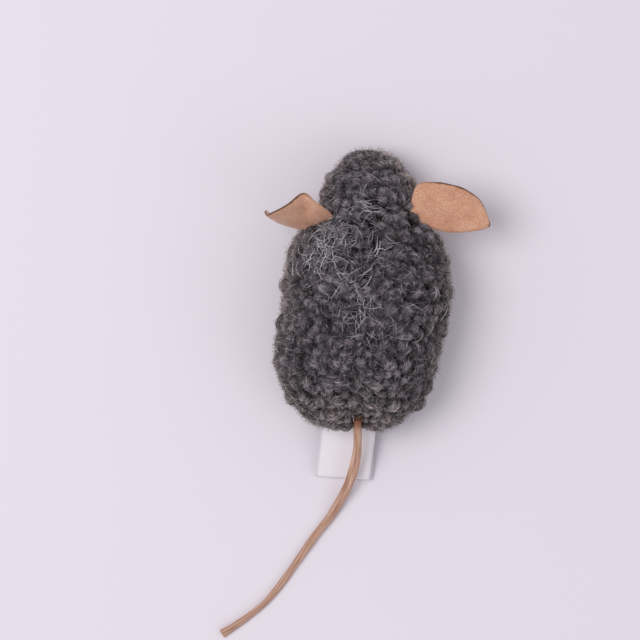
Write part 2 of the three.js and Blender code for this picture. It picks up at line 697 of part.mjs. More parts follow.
// Filling in the head and the body, catnip between the two, and a pleated foil under the body's filling
const core = skinSolid(coverThickness + fillGap, liningGrid);
const foilMiddle = coverThickness - bellyPress + foilRoom + foilWave;
const foilTop = foilMiddle + foilWave + foilThickness / 2;
const foilHalfWidth = bodyHalfWidth - coverThickness - foilSideRoom;
const foilY = noseReach - foilShare * bodyLength;
const foilLine = [];
const foilPoints = Math.round((8 * foilHalfWidth) / foilPleat);
for (let i = 0; i <= foilPoints; i++) {
  const x = foilHalfWidth * ((2 * i) / foilPoints - 1);
  foilLine.push([x, foilMiddle + foilWave * Math.sin((2 * Math.PI * x) / foilPleat)]);
}
const foilOutline = [
  ...foilLine.map(([x, z]) => [x, z + foilThickness / 2]),
  ...foilLine.map(([x, z]) => [x, z - foilThickness / 2]).reverse(),
];
const foilSheet = prismSolid(foilOutline, -farFront, -farBack).rotate([90, 0, 0]);
const foilBounds = solidOf(
  new THREE.CylinderGeometry(1, 1, bodyHeight, 28)
    .rotateX(Math.PI / 2)
    .scale(foilHalfWidth - foilThickness, foilHalfLength, 1)
    .translate(0, foilY, 0),
);
add("crinkle_foil", foilSheet.intersect(foilBounds), foil);

const neck = sectionAt(neckShare);
const catnipPlace = new THREE.Vector3(0, neck.y, (neck.middle + neck.up) / 2);
const catnipRadius = Math.min(neck.left, neck.right) - coverThickness - catnipWall;
const catnipSolid = (radius) =>
  solidOf(new THREE.IcosahedronGeometry(radius, 2)).translate(catnipPlace.toArray());
add("catnip", catnipSolid(catnipRadius), herb);
const fillRoom = core.subtract(catnipSolid(catnipRadius + fillGap));
const fillFloor = foilTop + fillGap;
const headRoom = boxSolid(
  new THREE.Vector3(-farX, neck.y + fillGap / 2, 0),
  new THREE.Vector3(farX, farFront, farUp),
);
const trunkRoom = boxSolid(
  new THREE.Vector3(-farX, farBack, fillFloor),
  new THREE.Vector3(farX, neck.y - fillGap / 2, farUp),
);
const cut = cuts.reduce((all, one) => all.add(one));
add("head_filling", fillRoom.intersect(headRoom).subtract(cut), filling);
add("body_filling", fillRoom.intersect(trunkRoom).subtract(cut), filling);

const floorRoom = boxSolid(new THREE.Vector3(-farX, farBack, 0), new THREE.Vector3(farX, farFront, farUp));
const cover = skinSolid(0, coverGrid).intersect(floorRoom).subtract(skinSolid(coverThickness, liningGrid));
add("back_panel_left", cover.intersect(besideSpine(-1)).subtract(cut), fleece);
add("back_panel_right", cover.intersect(besideSpine(1)).subtract(cut), fleece);
add("belly_panel", cover.intersect(belowSeam).subtract(cut), underFleece);

export default mouse;
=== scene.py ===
# %% [markdown]
# # A stuffed mouse for a cat
#
# The toy is a small bag of curly grey pile cloth, stuffed with wadding, with two folded felt ears, a suede
# lace for a tail and a ribbon label. It lies on its belly and is looked at from straight above. The solids of
# the toy are already there in real size, as a frame. Here each part that shows gets its soft form and finish.

# %% Load the frame
import math

import bpy
import numpy as np
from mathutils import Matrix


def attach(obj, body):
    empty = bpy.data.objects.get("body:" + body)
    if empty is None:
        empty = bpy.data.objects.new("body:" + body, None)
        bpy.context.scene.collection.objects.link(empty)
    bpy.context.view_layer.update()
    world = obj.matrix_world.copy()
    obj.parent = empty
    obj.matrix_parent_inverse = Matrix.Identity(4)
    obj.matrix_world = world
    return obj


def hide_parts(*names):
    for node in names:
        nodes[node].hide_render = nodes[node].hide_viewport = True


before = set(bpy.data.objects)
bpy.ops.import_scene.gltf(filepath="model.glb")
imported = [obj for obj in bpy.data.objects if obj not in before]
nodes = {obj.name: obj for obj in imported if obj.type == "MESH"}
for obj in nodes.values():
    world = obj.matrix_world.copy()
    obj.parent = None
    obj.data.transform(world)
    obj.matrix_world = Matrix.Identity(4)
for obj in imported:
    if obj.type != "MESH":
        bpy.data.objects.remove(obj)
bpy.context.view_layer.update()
MM = 0.001
rng = np.random.default_rng(7)

# %% [markdown]
# ## Camera, floor and light
#
# The toy was seen from straight above, from far enough that its parts hardly lean outwards. A pixel is
# 0.268 mm on the floor, and the toy lies turned by less than three degrees in the picture.

# %% Camera
PIXEL = 0.268 * MM  # on the floor
PICTURE = 640  # pixels across and down
SENSOR = 36
DISTANCE = 0.8  # metres over the floor
TURN = math.radians(2.78)
ORIGIN_PIXEL = (362.6, 300.0)  # where the middle of the belly lies in the picture
right = (PICTURE / 2 - ORIGIN_PIXEL[0]) * PIXEL
upward = (ORIGIN_PIXEL[1] - PICTURE / 2) * PIXEL

camera_data = bpy.data.cameras.new("camera from above")
camera_data.sensor_width = SENSOR
camera_data.lens = SENSOR * DISTANCE / (PICTURE * PIXEL)
camera = bpy.data.objects.new("camera from above", camera_data)
camera.location = (
    right * math.cos(TURN) - upward * math.sin(TURN),
    right * math.sin(TURN) + upward * math.cos(TURN),
    DISTANCE,
)
camera.rotation_euler = (0, 0, TURN)
bpy.context.scene.collection.objects.link(camera)
bpy.context.scene.camera = camera
print("camera", tuple(round(c, 4) for c in camera.location), "lens", round(camera_data.lens, 1))

# %% [markdown]
# A finish is built from nodes. One function adds a node with its settings and links. Another sets or links
# the sockets of a node that is already there, such as a material's shader.


# %% Helpers for colours and nodes
def colour(hex_code):
    """The linear colour of an sRGB hex code such as "#c49a80"."""
    channels = [int(hex_code[i : i + 2], 16) / 255 for i in (1, 3, 5)]
    return [c / 12.92 if c <= 0.04045 else ((c + 0.055) / 1.055) ** 2.4 for c in channels] + [1]


def connect(owner, node, inputs):
    """Sets sockets of a node to values, or links them to other nodes' outputs."""
    for socket, value in inputs.items():
        if isinstance(value, bpy.types.NodeSocket):
            owner.node_tree.links.new(value, node.inputs[socket])
        else:
            node.inputs[socket].default_value = value


def add_node(material, kind, inputs=None, stops=(), **settings):
    """The outputs of a new node with its settings, inputs and, for a colour ramp, (place, hex code) stops."""
    made = material.node_tree.nodes.new("ShaderNode" + kind)
    for name, value in settings.items():
        setattr(made, name, value)
    for stop in stops[2:]:
        made.color_ramp.elements.new(0.5)
    for stop, (place, hex_code) in enumerate(stops):
        made.color_ramp.elements[stop].position = place
        made.color_ramp.elements[stop].color = colour(hex_code)
    connect(material, made, inputs or {})
    return made.outputs


def new_material(name):
    """An empty material and its Principled shader."""
    material = bpy.data.materials.new(name)
    material.use_nodes = True
    return material, material.node_tree.nodes["Principled BSDF"]


def deselect():
    """Leaves nothing selected, because an operator acts on all that is."""
    for other in bpy.context.selected_objects:
        other.select_set(False)


def pick(piece):
    """Selects one piece alone, for the operators that follow."""
    deselect()
    piece.select_set(True)
    bpy.context.view_layer.objects.active = piece


# %% [markdown]
# The floor is matt pale paper. A big soft lamp stands on the left and a weak one on the right, and a pale
# room fills the shadows.

# %% Floor, lamps and world
deselect()
bpy.ops.mesh.primitive_plane_add(size=3)
floor = bpy.context.object
floor.name = "floor"
floor_material, shader = new_material("matt pale paper")
connect(floor_material, shader, {"Base Color": colour("#e7e1ea"), "Roughness": 0.9})
floor.data.materials.append(floor_material)


def add_lamp(name, place, size, watts, tint):
    """A round lamp that shines on the toy."""
    data = bpy.data.lights.new(name, "AREA")
    data.shape = "DISK"
    data.size = size
    data.energy = watts
    data.color = tint
    lamp = bpy.data.objects.new(name, data)
    lamp.location = place
    aim = -np.array(place)
    tilt = math.atan2(math.hypot(aim[0], aim[1]), -aim[2])
    lamp.rotation_euler = (tilt, 0, math.atan2(-aim[0], aim[1]))
    bpy.context.scene.collection.objects.link(lamp)


add_lamp("big softbox, left", place=(-0.45, 0.06, 0.86), size=0.6, watts=4.4, tint=(1, 0.985, 0.965))
add_lamp("weak fill, right", place=(0.6, -0.4, 0.6), size=0.6, watts=0.8, tint=(0.97, 0.98, 1))

world = bpy.data.worlds.new("pale room")
world.use_nodes = True
connect(world, world.node_tree.nodes["Background"], {"Color": (0.95, 0.94, 0.98, 1), "Strength": 0.57})
bpy.context.scene.world = world
bpy.context.scene.view_settings.view_transform = "Standard"
print("two lamps and a pale room")

# %% [markdown]
# ## The shape of the stuffed body
#
# The real body is two pieces of cloth sewn along the back and a third underneath, turned and stuffed, so it
# is round at both ends, narrow at the neck, and flat where it lies. It could be sculpted, but a table of
# sections from nose to rump keeps it true to the solids: each row gives how far the skin stands to the left,
# to the right, up and down, as shares of the body's half width and of the height there.

# %% Sections of the body
BODY_LENGTH = 75
BODY_HALF_WIDTH = 22.6
BODY_HEIGHT = 30
NOSE_REACH = 40
NOSE_HEIGHT = 8
RUMP_HEIGHT = 11
BELLY_PRESS = 0.5  # how deep the belly is pressed flat
BACK_ROUNDNESS = 2.2  # exponents of a section's curve, above and below its widest line
BELLY_ROUNDNESS = 3
SEAM_HEIGHT = 6  # of the seam round the base
SPINE_BOW = 2.8  # how far the seam along the back wanders to the right
SPINE_DIP = 0.9  # how deep that seam is drawn in
RUMP_DIP = 1.6  # how much deeper it is drawn in behind
DIP_HALF_WIDTH = 2.6
HEART = np.array([0, 2.5, RUMP_HEIGHT])  # the point inside the body that seams are drawn in towards
NUDGE = 0.05  # the small distance over which slopes are measured
# Each row: share of the length, then how far left, right, up and down as shares of the whole.
STATION_SHARES = np.array(
    [
        [0, 0, 0, 0, 0],
        [0.04, 0.3, 0.33, 0.24, 0.5],
        [0.09, 0.45, 0.48, 0.42, 0.85],
        [0.15, 0.54, 0.585, 0.56, 0.97],
        [0.215, 0.58, 0.6, 0.6, 1],
        [0.255, 0.61, 0.69, 0.69, 1],
        [0.3, 0.79, 0.86, 0.82, 1],
        [0.38, 0.91, 0.97, 0.94, 1],
        [0.5, 0.95, 1.03, 1, 1],
        [0.62, 0.98, 0.99, 1, 1],
        [0.72, 1.02, 0.925, 0.96, 1],
        [0.82, 0.96, 0.85, 0.83, 1],
        [0.9, 0.82, 0.71, 0.61, 0.93],
        [0.96, 0.6, 0.47, 0.34, 0.66],
        [1, 0, 0, 0, 0],
    ]
)


def share(t, column):
    """A column of the table at share t of the length, read smoothly through the squares."""
    knots = STATION_SHARES[:, 0]
    squares = STATION_SHARES[:, column] ** 2
    slopes = np.gradient(squares, knots)
    slopes[1:-1] = (squares[2:] - squares[:-2]) / (knots[2:] - knots[:-2])
    i = np.clip(np.searchsorted(knots, t, side="right") - 1, 0, len(knots) - 2)
    span = knots[i + 1] - knots[i]
    u = np.clip((t - knots[i]) / span, 0, 1)
    value = squares[i] * (1 + 2 * u) * (1 - u) ** 2 + slopes[i] * span * u * (1 - u) ** 2
    value += squares[i + 1] * u * u * (3 - 2 * u) + slopes[i + 1] * span * u * u * (u - 1)
    return np.sqrt(np.maximum(value, 0))


def sections(t):
    """Middle height, left, right, up and down of the body at share t of its length, in millimetres."""
    middle = NOSE_HEIGHT + (RUMP_HEIGHT - NOSE_HEIGHT) * t
    up = share(t, 3) * (BODY_HEIGHT - middle)
    down = share(t, 4) * (middle + BELLY_PRESS)
    return middle, share(t, 1) * BODY_HALF_WIDTH, share(t, 2) * BODY_HALF_WIDTH, up, down


def spine(t):
    """How far the seam along the back wanders to the right."""
    return SPINE_BOW * np.sin(np.pi * np.clip(t, 0, 1))


def smooth(low, high, value):
    """From 0 at low to 1 at high, without a kink."""
    u = np.clip((value - low) / (high - low), 0, 1)
    return u * u * (3 - 2 * u)


def seam_dip(p):
    """How far the seam along the back draws the pile's surface in, at points p."""
    t = (NOSE_REACH - p[..., 1]) / BODY_LENGTH
    high = smooth(SEAM_HEIGHT - 0.5, SEAM_HEIGHT + 3.5, p[..., 2])
    across = (p[..., 0] - spine(t)) / DIP_HALF_WIDTH
    return (SPINE_DIP + RUMP_DIP * smooth(0.8, 0.96, t)) * high * np.exp(-across * across)


def skin(t, angle):
    """Points on the pile's outer surface, by share of the length and by angle from the right side up."""
    middle, left, right_side, up, down = sections(t)
    c, h = np.cos(angle), np.sin(angle)
    power = 2 / np.where(h >= 0, BACK_ROUNDNESS, BELLY_ROUNDNESS)
    x = np.sign(c) * np.abs(c) ** power * np.where(c > 0, right_side, left)
    z = middle + np.sign(h) * np.abs(h) ** power * np.where(h > 0, up, down)
    return np.stack([x, NOSE_REACH - BODY_LENGTH * t + 0 * x, z], -1)


def depth_of(p):
    """How far out points are: under 1 inside the body, and over 1 outside."""
    t = np.clip((NOSE_REACH - p[..., 1]) / BODY_LENGTH, 1e-4, 1 - 1e-4)
    middle, left, right_side, up, down = sections(t)
    above = p[..., 2] > middle
    power = np.where(above, BACK_ROUNDNESS, BELLY_ROUNDNESS)
    across = np.abs(p[..., 0]) / np.where(p[..., 0] > 0, right_side, left)
    high = np.abs(p[..., 2] - middle) / np.where(above, up, down)
    return (across**power + high**power) ** (1 / power)


def unit(v):
    """The same directions with a length of 1."""
    return v / np.maximum(np.linalg.norm(v, axis=-1, keepdims=True), 1e-9)


def outward(p):
    """The direction straight out of the body at points on its skin."""
    slope = [depth_of(p + NUDGE * axis) - depth_of(p - NUDGE * axis) for axis in np.eye(3)]
    return unit(np.stack(slope, -1))


def seam_pull(p):
    """How the seam along the back moves points of the pile's surface inwards."""
    return unit(HEART - p) * seam_dip(p)[..., None]


middle_section = sections(np.array([0.5]))
print("half widths in the middle", [round(float(v[0]), 1) for v in middle_section])

# %% [markdown]
# The pile bunches in lumps about 5 mm apart, in rows along the body that are shifted against each other. The
# solids have the same lumps, from the same grid: 36 stations from nose to rump, 24 columns over the back, and
# a crest at every other point of every other row. Near the seams and the sewn pieces the lumps are flatter.

# %% Lumps of the pile
STATIONS = 36
COLUMNS = 12  # on either side of the seam along the back
COLUMN_CROWDING = 1.2  # over 1, the columns stand closer by that seam
ROW_CROWDING = 0.3  # over 0, the rows stand closer in the middle of the body
LUMP_SPACING = 4.9
LUMP_RISE = 0.25  # of the crests over the skin
LUMP_GROOVE = 0.9  # depth of the grooves between them
LUMP_RADIUS = 2.5
LUMP_JITTER = 0.22  # how far a crest stands off its place, in steps of the grid
LUMPS_FROM = (1.4, 3.85)  # heights over the floor at which lumps begin and are whole
BASE_SEAM_HALF_WIDTH = 1.75
EAR_ROOTS = np.array([[11.192, 21.603, 15.973], [-7.057, 21.603, 17.694]])
KNOT = np.array([0, -31.302, 13])
LABEL_ROOT = np.array([-2, -32.565, 6])
SEWN = [(EAR_ROOTS[0], 4.25), (EAR_ROOTS[1], 4.25), (KNOT, 3.6), (LABEL_ROOT, 5.5)]  # places and their reach


def scatter(m, n):
    """Even scatter between 0 and 1, the same each time, by two whole numbers."""
    return (np.sin(m * 12.9898 + n * 78.233) * 43758.5453) % 1


def column_angle(t, j):
    """The angle round the body of a column of the grid, which stands closer by the seam along the back."""
    seam = np.arccos((spine(t) / sections(t)[2]) ** (BACK_ROUNDNESS / 2))
    before = seam * (1 - np.maximum(1 - j / COLUMNS, 0) ** COLUMN_CROWDING)
    behind = seam + (np.pi - seam) * np.maximum(j / COLUMNS - 1, 0) ** COLUMN_CROWDING
    return np.where(j < COLUMNS, before, behind)


def lumps_at(p):
    """How far the lumps are worked out at points, from 0 to 1."""
    t = (NOSE_REACH - p[:, 1]) / BODY_LENGTH
    across = (p[:, 0] - spine(t)) / DIP_HALF_WIDTH
    high = (p[:, 2] - SEAM_HEIGHT) / BASE_SEAM_HALF_WIDTH
    whole = smooth(0.02, 0.07, np.minimum(t, 1 - t)) * smooth(*LUMPS_FROM, p[:, 2])
    whole *= (1 - np.exp(-across * across)) * (1 - 0.5 * np.exp(-high * high))
    for place, reach in SEWN:
        whole *= smooth(reach, reach + LUMP_SPACING, np.linalg.norm(p - place, axis=1))
    return whole


i, j = np.meshgrid(np.arange(2, STATIONS, 2), np.arange(1, 2 * COLUMNS), indexing="ij")
at_crest = ((j + i // 2) % 2 == 0) & (j != COLUMNS)
i, j = i[at_crest], j[at_crest]
i_at = i + LUMP_JITTER * (2 * scatter(i + STATIONS, j) - 1)
j_at = j + LUMP_JITTER * (2 * scatter(i - STATIONS, j) - 1)
even = i_at / STATIONS + ROW_CROWDING * np.sin(2 * np.pi * i_at / STATIONS) / (2 * np.pi)
crest_t = (1 - np.cos(np.pi * even)) / 2
crest_angle = column_angle(crest_t, j_at)
crests = skin(crest_t, crest_angle)


def lump_height(p):
    """How far the lumps raise the pile over the skin at points, or let it sink."""
    nearest = np.sqrt(((p[:, None] - crests[None]) ** 2).sum(-1).min(1))
    fall = np.minimum(nearest / LUMP_RADIUS, 1) ** 1.5
    return (LUMP_RISE - (LUMP_RISE + LUMP_GROOVE) * fall) * lumps_at(p)


print(len(crests), "lumps")

# %% [markdown]
# ## The backing cloth
#
# Under the pile is a thin dark knitted cloth, which shows only in the gaps between the tufts. A sphere is the
# nearest primitive to a stuffed bag. It is laid along the toy, its points are moved onto the sections, and it
# is cut in three at the two seams, so that each panel of cloth is a piece of its own. Solidify thickens it.

# %% Backing cloth in three panels
PILE_DEPTH = 2.6
CLOTH_THICKNESS = 0.7
EAR_ROOM = 1.6  # how far the cloth keeps in by the ears, so that they can swing
EAR_ROOM_REACH = (9, 4)  # distances from an ear's root at which that begins and is whole
CLOTH_DIP = 0.4  # the share of the pile's dip that the cloth follows
CLOTH_LOWEST = 1.3


def new_bag(name):
    """A closed bag with the body's shape, as far inside the skin as the pile is deep."""
    deselect()
    bpy.ops.mesh.primitive_uv_sphere_add(segments=96, ring_count=64, rotation=(math.pi / 2, 0, 0))
    bag = bpy.context.object
    bag.name = bag.data.name = name
    bpy.ops.object.transform_apply(rotation=True)
    ball = np.array([v.co for v in bag.data.vertices])
    t = np.clip((1 - ball[:, 1]) / 2, 0.0005, 0.9995)
    points = skin(t, np.arctan2(ball[:, 2], ball[:, 0]))
    points = points - outward(points) * PILE_DEPTH * smooth(0, 0.02, t)[:, None] ** 0.5
    foremost, hindmost = NOSE_REACH - PILE_DEPTH, NOSE_REACH - BODY_LENGTH + PILE_DEPTH
    points[:, 1] = np.clip(points[:, 1], hindmost, foremost)
    inwards = unit(HEART - points)
    points += inwards * CLOTH_DIP * seam_dip(points)[:, None]
    to_ear = np.linalg.norm(points[:, None] - EAR_ROOTS, axis=-1).min(1)
    points += inwards * EAR_ROOM * smooth(*EAR_ROOM_REACH, to_ear)[:, None]
    points[:, 2] = np.maximum(points[:, 2], CLOTH_LOWEST)
    bag.data.vertices.foreach_set("co", (points * MM).ravel())
    bag.data.update()
    return bag


def cut_away(place, direction):
    """Takes off what lies beyond a plane."""
    bpy.ops.object.mode_set(mode="EDIT")
    bpy.ops.mesh.select_all(action="SELECT")
    bpy.ops.mesh.bisect(plane_co=place, plane_no=direction, clear_outer=True)
    bpy.ops.object.mode_set(mode="OBJECT")


def bend_by_spine(piece, way):
    """Moves the points sideways, so that the curved seam along the back is straight, or curved again."""
    co = np.array([v.co for v in piece.data.vertices])
    co[:, 0] += way * spine((NOSE_REACH - co[:, 1] / MM) / BODY_LENGTH) * MM
    piece.data.vertices.foreach_set("co", co.ravel())
    piece.data.update()


def sew_panel(name, side):
    """The panel left (-1) or right (1) of the seam along the back, or the one underneath (0)."""
    panel = new_bag(name)
    seam = (0, 0, SEAM_HEIGHT * MM)
    if side:
        cut_away(seam, (0, 0, -1))
        bend_by_spine(panel, -1)
        cut_away((0, 0, 0), (-side, 0, 0))
        bend_by_spine(panel, 1)
    else:
        cut_away(seam, (0, 0, 1))
    pick(panel)
    thick = panel.modifiers.new("thickness of the cloth", "SOLIDIFY")
    thick.thickness = CLOTH_THICKNESS * MM
    thick.offset = -1
    bpy.ops.object.modifier_apply(modifier=thick.name)
    bpy.ops.object.shade_smooth()
    return panel


cloth = {
    "back_panel_left": sew_panel("backing_left", -1),
    "back_panel_right": sew_panel("backing_right", 1),
    "belly_panel": sew_panel("backing_belly", 0),
}
print("backing cloth faces", [len(panel.data.polygons) for panel in cloth.values()])

# %% [markdown]
# Polyester backing knit, dyed dark. It is matt and almost black, with the loops of the knit just visible
# as a fine relief. The loops are 0.6 mm apart.

# %% Finish of the backing cloth
LOOP = 0.6 * MM  # from one to the next
backing_material, shader = new_material("polyester backing knit")
place = add_node(backing_material, "TexCoord")["Object"]
loops = add_node(backing_material, "TexVoronoi", {"Vector": place, "Scale": 1 / LOOP})["Distance"]
shade = add_node(backing_material, "ValToRGB", {"Fac": loops}, stops=[(0, "#2b282b"), (1, "#151315")])
relief = {"Height": loops, "Strength": 0.5, "Distance": 0.2 * MM}
bump = add_node(backing_material, "Bump", relief)["Normal"]
connect(backing_material, shader, {"Base Color": shade["Color"], "Normal": bump, "Roughness": 0.95})
print(backing_material.name, "has", len(backing_material.node_tree.nodes), "nodes")


for node, panel in cloth.items():
    panel.data.materials.append(backing_material)
    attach(panel, "body")
    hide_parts(node)

# %% [markdown]
# ## The curly pile
#
# The pile is polyester fibre that was curled by heat, so it stands in round locks 3 to 4 mm wide, like the
# fleece of a lamb. Blender's own hair isn't a mesh, so the locks are meshes: each is a rounded lobe, and fine
# fibres lie over it side by side in arcs. A big lock stands on the crest of each lump, and smaller ones fill
# the grooves, no two nearer than a given distance. Along the neck the seam parts the pile: a narrow lane
# there stays free, and so does the place where the tail comes out.


# %% Where the locks stand
def spread_over_skin(wanted):
    """Random points on the skin, evenly by area, as share of the length and angle, and the skin's area."""
    t_edges = (1 - np.cos(np.pi * np.linspace(0, 1, 161))) / 2
    a_edges = np.linspace(0, 2 * np.pi, 201)
    corners = skin(*np.meshgrid(t_edges, a_edges, indexing="ij"))
    along = corners[1:, :-1] - corners[:-1, :-1]
    across = corners[:-1, 1:] - corners[:-1, :-1]
    areas = np.linalg.norm(np.cross(along, across), axis=-1)
    chosen = rng.choice(areas.size, size=wanted, p=areas.ravel() / areas.sum())
    i, j = np.unravel_index(chosen, areas.shape)
    t = t_edges[i] + rng.random(wanted) * (t_edges[i + 1] - t_edges[i])
    a = a_edges[j] + rng.random(wanted) * (a_edges[j + 1] - a_edges[j])
    return t, a, areas.sum()


def keep_apart(points, spacing):
    """The indices of points of which no two are nearer than their spacing."""
    cell_size = 3  # no less than the largest spacing
    cells = {}
    kept = []
    for index, (p, reach) in enumerate(zip(points.tolist(), spacing.tolist())):
        cell = tuple(int(c // cell_size) for c in p)
        near = [
            q
            for dx in (-1, 0, 1)
            for dy in (-1, 0, 1)
            for dz in (-1, 0, 1)
            for q in cells.get((cell[0] + dx, cell[1] + dy, cell[2] + dz), ())
        ]
        if all((p[0] - q[0]) ** 2 + (p[1] - q[1]) ** 2 + (p[2] - q[2]) ** 2 > reach**2 for q in near):
            cells.setdefault(cell, []).append(p)
            kept.append(index)
    return np.array(kept)


# Where the tail leaves the rump, from its top to behind it.
TAIL_EXIT = np.array([[0.1, -32.2, 15.2], [0.2, -33.2, 14.5], [0.4, -34.5, 13], [0.5, -36.2, 11.5]])
PARTING = 1.7  # half the width of the bare lane along the neck's seam
PARTING_FROM, PARTING_TO = 0.14, 0.36  # shares of the body's length
PARTING_ABOVE = 12  # height over the floor


def near_tail(points, reach_above, reach_behind):
    """Whether points are where the tail comes out and swings."""
    distance = np.linalg.norm(points[:, None] - TAIL_EXIT, axis=-1)
    return (distance < np.linspace(reach_above, reach_behind, len(TAIL_EXIT))).any(1)


def near_sewn(points, margin):
    """Whether points are within reach of an ear's, the tail's or the label's sewing, and a margin."""
    return np.any([np.linalg.norm(points - place, axis=1) < reach + margin for place, reach in SEWN], axis=0)


def in_parting(points, t, wider=0.0, longer=0.0):
    """Whether points are in the lane on the neck, made wider by millimetres and longer by shares."""
    beside = np.abs(points[:, 0] - spine(t)) < PARTING + wider
    on_neck = (t > PARTING_FROM - longer) & (t < PARTING_TO + longer)
    return beside & on_neck & (points[:, 2] > PARTING_ABOVE)


TRIED = 14000  # random places, of which most stand too close to another
OVER_KNOT = 0.955  # share of the length at which one more lock covers the knot
CREST_SPACING = 2.5
SPACINGS = (1.75, 2.7)  # between the locks in the grooves
t, a, skin_area = spread_over_skin(TRIED)
t, a = np.r_[crest_t, OVER_KNOT, t], np.r_[crest_angle, math.pi / 2, a]
tops = skin(t, a)
on_crest = np.arange(len(t)) < len(crests)
spacing = np.where(on_crest, CREST_SPACING, rng.uniform(*SPACINGS, len(t)))
free = np.flatnonzero(~near_tail(tops, 2.3, 3.3) & ~in_parting(tops, t))
kept = free[keep_apart(tops[free], spacing[free])]
lock_top = tops[kept]
lock_out = outward(lock_top)
lock_t = t[kept]
locks = len(kept)
print("skin", round(skin_area), "mm2,", locks, "locks")

# %% [markdown]
# Neighbouring locks curl in similar directions, with some that go their own way. Each lock gets three axes:
# the way its fibres are combed, the way across, and straight out. It also gets a half size along each axis.
# Locks are smaller by the tail, to leave it room, and stand higher by the ears, to hide their roots.


# %% Directions and sizes of the locks
def tangents_of(normals):
    """Two directions along the surface for each normal."""
    helper = np.where(np.abs(normals[:, 1:2]) < 0.9, [[0, 1, 0]], [[1, 0, 0]])
    first = unit(np.cross(helper, normals))
    return first, np.cross(normals, first)


LOCK_HALF_SIZES = [(1.25, 2.0), (1.0, 1.42), (1.2, 1.7)]  # combed way, across and out, least and most
CREST_SIZE, GROOVE_SIZE = 1.14, 0.94  # locks on the crests are bigger
first, second = tangents_of(lock_out)
swirl = np.sin(lock_top @ np.array([0.21, 0.13, 0.1]) + 1)
swirl = swirl + np.sin(lock_top @ np.array([-0.12, 0.24, 0.05]))
comb_angle = 1.6 * swirl + rng.normal(0, 0.8, locks)
lock_comb = first * np.cos(comb_angle)[:, None] + second * np.sin(comb_angle)[:, None]
lock_side = np.cross(lock_out, lock_comb)
lock_size = np.stack([rng.uniform(*sizes, locks) for sizes in LOCK_HALF_SIZES], -1)
lock_size *= np.where(on_crest[kept], CREST_SIZE, GROOVE_SIZE)[:, None]
to_tail = np.linalg.norm(lock_top[:, None] - TAIL_EXIT, axis=-1).min(1)
lock_size *= (0.72 + 0.28 * smooth(2.8, 5, to_tail))[:, None]
lock_shade = rng.normal(0, 1, locks)
lock_sink = rng.uniform(-0.45, 0.25, locks) - lump_height(lock_top)
to_ear = np.linalg.norm(lock_top[:, None] - EAR_ROOTS, axis=-1).min(1)
lock_sink -= 0.9 * smooth(8.5, 3.5, to_ear)
lock_middle = lock_top + seam_pull(lock_top)
lock_middle = lock_middle - lock_out * (lock_size[:, 2] + lock_sink)[:, None]
FLOOR_GAP = 0.12  # the lowest that the pile reaches
PRESS = 1.5  # the height under which it is pressed down


def rest_on_floor(points):
    """Presses what is near the floor flat, and leaves the rest as it is."""
    low = points[..., 2] < PRESS
    room = PRESS - FLOOR_GAP
    pressed = FLOOR_GAP + room * np.exp(np.minimum(points[..., 2] - PRESS, 0) / room)
    points[..., 2] = np.where(low, pressed, points[..., 2])
    return points


print("locks are", round(float(2 * lock_size[:, 0].mean()), 1), "mm long on average")

# %% [markdown]
# Wool-like polyester fibre, dyed charcoal: matt, with a soft sheen. Each fibre is painted light in the middle
# of its arc and dark at both ends, as a painted highlight on top of the lock and painted shade where the ends
# go down into the pile. Low on the sides, at the rump and at the nose the pile is painted brownish and paler,
# as
# painted light that shines through the edge fibres and bounces up from the floor. The UV map carries this:
# across is the shade, greys from 0 to 0.6 and browns from 0.6 to 1, and up is the place along the fibre.

# %% Finish of the pile
pile_material, shader = new_material("curled polyester pile")
uv = add_node(pile_material, "UVMap", uv_map="OFBake")["UV"]
parts = add_node(pile_material, "SeparateXYZ", {"Vector": uv})
greys = [(0.0, "#252126"), (0.3, "#655c64"), (0.59, "#bcb3bb")]
browns = [(0.61, "#4a3c3d"), (0.8, "#877574"), (1.0, "#ead8d4")]
fibre_colour = add_node(pile_material, "ValToRGB", {"Fac": parts["X"]}, stops=greys + browns)
# Painted highlight and shade along each fibre: lightest in the middle of its arc, dark at both ends.
stops = [(0.0, "#161616"), (0.28, "#aaaaaa"), (0.5, "#ffffff"), (0.74, "#c6c6c6"), (1.0, "#2a2a2a")]
painted_light_along_fibre = add_node(pile_material, "ValToRGB", {"Fac": parts["Y"]}, stops=stops)
both = {"Factor": 1.0, 6: fibre_colour["Color"], 7: painted_light_along_fibre["Color"]}
mixed = add_node(pile_material, "Mix", both, data_type="RGBA", blend_type="MULTIPLY")
gloss = {"Roughness": 0.55, "Specular IOR Level": 0.4, "Sheen Weight": 0.2, "Sheen Roughness": 0.4}
connect(pile_material, shader, {"Base Color": mixed[2], **gloss})
print(pile_material.name, "has", len(pile_material.node_tree.nodes), "nodes")

# %% [markdown]
# The brown is painted light, which shines through the edge fibres and bounces up from the floor. It comes in
# low on the sides, at the rump and at the nose, and most on the right of the head. Low on the right side and
# at the head the pile is painted paler too. A lock and its fibres share one shade, from which each fibre
# strays a little.

# %% How much painted edge light browns each lock
lock_level, _, _, lock_rise, _ = sections(lock_t)
relative_height = (lock_top[:, 2] - lock_level) / lock_rise
# Painted edge light: brownish low on the sides, at the rump and at the nose, and paler on the right and at
# the head.
painted_edge_brownness = 0.62 * smooth(0.95, 0.05, relative_height)
painted_edge_brownness = np.maximum(painted_edge_brownness, 0.65 * smooth(0.8, 0.97, lock_t))
painted_edge_brownness = np.maximum(painted_edge_brownness, 0.5 * smooth(0.09, 0.0, lock_t))
painted_edge_brownness += 0.7 * smooth(0.26, 0.2, lock_t) * (lock_top[:, 0] > 0) * smooth(0.9, 0.4, relative_height)
painted_paleness = 0.07 * smooth(0.7, 0.1, relative_height)
painted_paleness = painted_paleness * ((lock_top[:, 0] > 0) + 1.0 * (lock_t < 0.22))  # on the right, and at the head


